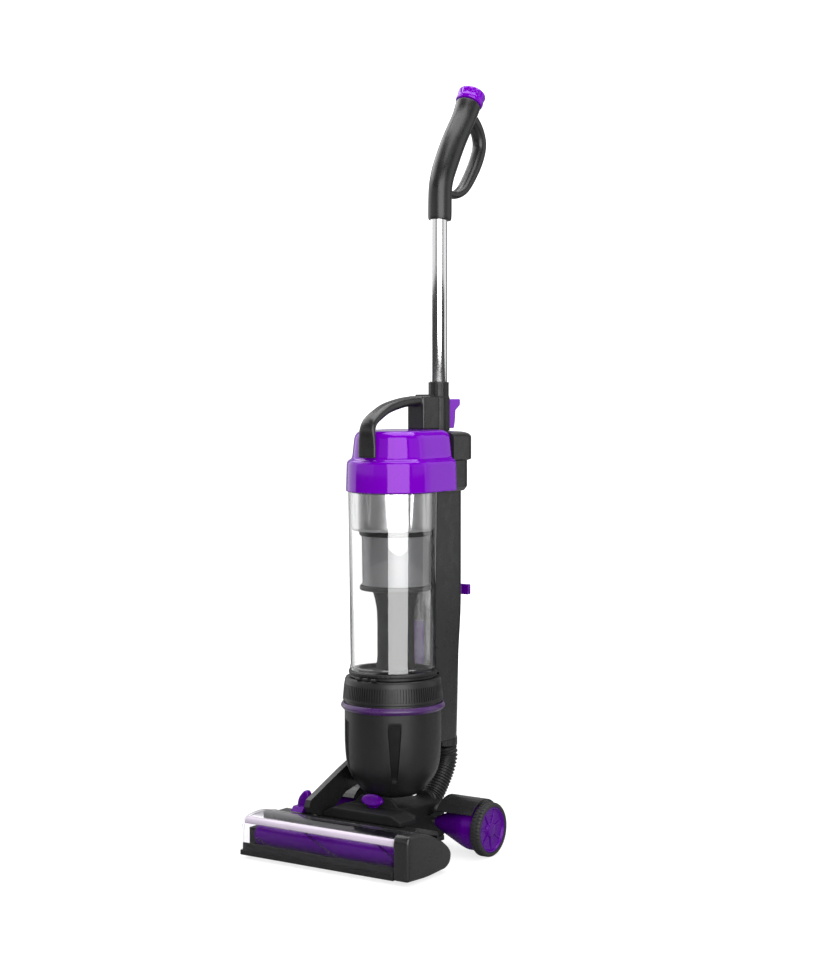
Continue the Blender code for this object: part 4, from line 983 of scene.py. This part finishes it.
def make_wheels():
    for side, sign in (("left", -1), ("right", 1)):
        body = f"wheel_{side}_set"
        place = turn_x(Vector((0, AXLE.y, AXLE.z)))
        cone = [(0.0043, 0.116), (0.0043, 0.051), (0.0070, 0.051), (0.0080, 0.0520), (0.0150, 0.0680),
                (0.0225, 0.0860), (0.0290, 0.1020), (0.0312, 0.1090), (0.0318, 0.1120), (0.0318, 0.1440),
                (0.0308, 0.1447), (0.0296, 0.1442), (0.0288, 0.1425), (0.0272, 0.1408), (0.0120, 0.1400),
                (0.0105, 0.1405), (0.0098, 0.1425), (0.0085, 0.1432), (0.0020, 0.1434)]
        form = Form().lathe([(r, sign * x) for r, x in rounded(cone, 0.0009, 3, False)], place, 96)
        for i in range(7):
            a = 2 * PI * i / 7 + 0.3
            out = Vector((0, math.cos(a), math.sin(a)))
            wide = Vector((0, -math.sin(a), math.cos(a)))
            hub = Vector((0, AXLE.y, AXLE.z))
            rows = []
            for x, grow in ((0.1398, 1.0), (0.1412, 0.9), (0.1418, 0.6)):
                rows.append([hub + Vector((sign * x, 0, 0)) + out * r + wide * w * grow
                             for r, w in ((0.0100, -0.0016), (0.0274, -0.0026), (0.0274, 0.0026), (0.0100, 0.0016))])
            form.skin(rows)
        form.make("wheel_disc_" + side, DEEP, body, "deep_purple_plastic", ["wheel_" + side])
        tread = 44
        rows = []
        profile = [(0.0321, 0.1297, 0), (0.0352, 0.1295, 0), (0.0364, 0.1299, 0), (0.0376, 0.1312, 1),
                   (0.0380, 0.1326, 1), (0.0380, 0.1358, 1), (0.0380, 0.1362, 0), (0.0380, 0.1378, 0),
                   (0.0380, 0.1382, 1), (0.0380, 0.1415, 1), (0.0376, 0.1432, 1), (0.0364, 0.1446, 0),
                   (0.0352, 0.1450, 0), (0.0321, 0.1447, 0)]
        for r, x, cut_in in profile:
            row = []
            for i in range(tread):
                for share, sunk in ((0.0, 0), (0.30, 0), (0.60, 0), (0.70, 1), (0.92, 1)):
                    a = 2 * PI * (i + share + (0.5 if x > 0.1370 else 0)) / tread
                    row.append(polar(r - 0.0009 * sunk * cut_in, a, sign * x))
            rows.append(row)
        Form().skin(rows, loop=True, matrix=place).make(
            "tread_" + side, TYRE, body, "tyre_rubber", ["tyre_" + side])


def make_catch():
    keep("door_catch", DEEP, bevel=0.0006)
    keep("door_pushrod", SATIN)


# ---- stage ----
def aim(obj, place, run):
    """Puts a light or the camera at a place, looking along a direction."""
    obj.location = place
    obj.rotation_mode = "QUATERNION"
    obj.rotation_quaternion = run.to_track_quat("-Z", "Y")


def area_light(name, place, target, wide, tall, radiance):
    data = bpy.data.lights.new(name, "AREA")
    data.shape = "RECTANGLE"
    data.size = wide
    data.size_y = tall
    data.energy = radiance * PI * wide * tall
    obj = add_object(name, data)
    aim(obj, Vector(place), Vector(target) - Vector(place))
    obj.visible_camera = False


def around(azimuth, distance, height):
    """Point at a compass angle round the cleaner; 0 is straight ahead of it."""
    a = math.radians(azimuth)
    return Vector((math.sin(a) * distance, -math.cos(a) * distance, height))


ROOM_DISTANCE = 2.4           # from the cleaner's axis to the upright light panels
FLOOR_RADIUS = 1.5
FLOOR_GLOW = 0.74             # as the camera sees the floor
FLOOR_SPILL = 0.02            # as everything else sees it
ROOM_SEEN = 1.5               # brightness of the background
ROOM_FILL = 0.06              # light it gives
PANELS = (                    # name, azimuth, height, aim height, width, height of the panel, radiance
    ("softbox", 48.4, 1.0, 0.6, 2.5, 2.6, 4.9),
    ("side_panel", -88.0, 1.0, 0.6, 2.0, 2.6, 1.5),
    ("upper_left", -40.0, 1.05, 1.05, 2.4, 1.1, 0.85),
    ("upper_right", 103.0, 1.05, 1.05, 1.8, 1.1, 0.6),
    ("upper_front", 3.0, 1.05, 1.05, 1.5, 1.1, 0.40),
    ("right_panel", 137.0, 1.1, 0.8, 1.6, 2.2, 0.9),
    ("backdrop", 214.4, 1.2, 0.9, 4.0, 2.3, 0.42))


def make_stage():
    mesh = bpy.data.meshes.new("floor")
    bm = bmesh.new()
    bmesh.ops.create_circle(bm, cap_ends=True, segments=96, radius=FLOOR_RADIUS)
    bm.to_mesh(mesh)
    bm.free()
    floor = add_object("studio_floor", mesh)
    mat, tree, shader = new_material("pale_floor")
    shader.inputs["Base Color"].default_value = (0.30, 0.30, 0.30, 1)
    shader.inputs["Roughness"].default_value = 0.9
    shader.inputs["Emission Color"].default_value = (1, 1, 1, 1)
    seen = tree.nodes.new("ShaderNodeLightPath").outputs["Is Camera Ray"]
    tree.links.new(spread(tree, seen, FLOOR_SPILL, FLOOR_GLOW, 0.0, 1.0), shader.inputs["Emission Strength"])
    mesh.materials.append(mat)
    world = bpy.data.worlds.new("studio")
    bpy.context.scene.world = world
    world.use_nodes = True
    tree = world.node_tree
    dim = tree.nodes["Background"]
    white = tree.nodes.new("ShaderNodeBackground")
    for node, strength in ((dim, ROOM_FILL), (white, ROOM_SEEN)):
        node.inputs["Color"].default_value = (1, 1, 1, 1)
        node.inputs["Strength"].default_value = strength
    mix = tree.nodes.new("ShaderNodeMixShader")
    path = tree.nodes.new("ShaderNodeLightPath")
    tree.links.new(path.outputs["Is Camera Ray"], mix.inputs["Fac"])
    tree.links.new(dim.outputs["Background"], mix.inputs[1])
    tree.links.new(white.outputs["Background"], mix.inputs[2])
    tree.links.new(mix.outputs["Shader"], tree.nodes["World Output"].inputs["Surface"])
    for name, azimuth, height, look, wide, tall, radiance in PANELS:
        area_light(name, around(azimuth, ROOM_DISTANCE, height), (0, 0, look), wide, tall, radiance)
    area_light("overhead", (0.1, 0.3, 2.4), (0, 0, 0.4), 2.2, 1.8, 4.4)
    area_light("top_left", (-1.3, -0.1, 1.8), (0, 0, 0.1), 2.0, 0.9, 3.0)
    bpy.context.scene.view_settings.view_transform = "Standard"


CAMERA_LENS = 75.04
CAMERA_TARGET = Vector((0.055, -0.05275, 0.5283))
CAMERA_DISTANCE = 2.7765
CAMERA_PITCH = math.radians(3.2)
CAMERA_TURN = math.radians(34.4)


def make_camera():
    data = bpy.data.cameras.new("camera")
    data.sensor_width = 36.0
    data.lens = CAMERA_LENS
    obj = add_object("camera", data)
    level = math.cos(CAMERA_PITCH)
    back = Vector((math.sin(CAMERA_TURN) * level, -math.cos(CAMERA_TURN) * level, math.sin(CAMERA_PITCH)))
    aim(obj, CAMERA_TARGET + back * CAMERA_DISTANCE, -back)
    bpy.context.scene.camera = obj


make_camera()
make_stage()
make_bin()
make_cyclone()
make_lid()
make_carry_handle()
make_handle()
make_wand_collar()
make_spine()
make_motor()
make_hose()
make_hood()
make_deck()
make_pedal()
make_brush()
make_wheels()
make_catch()
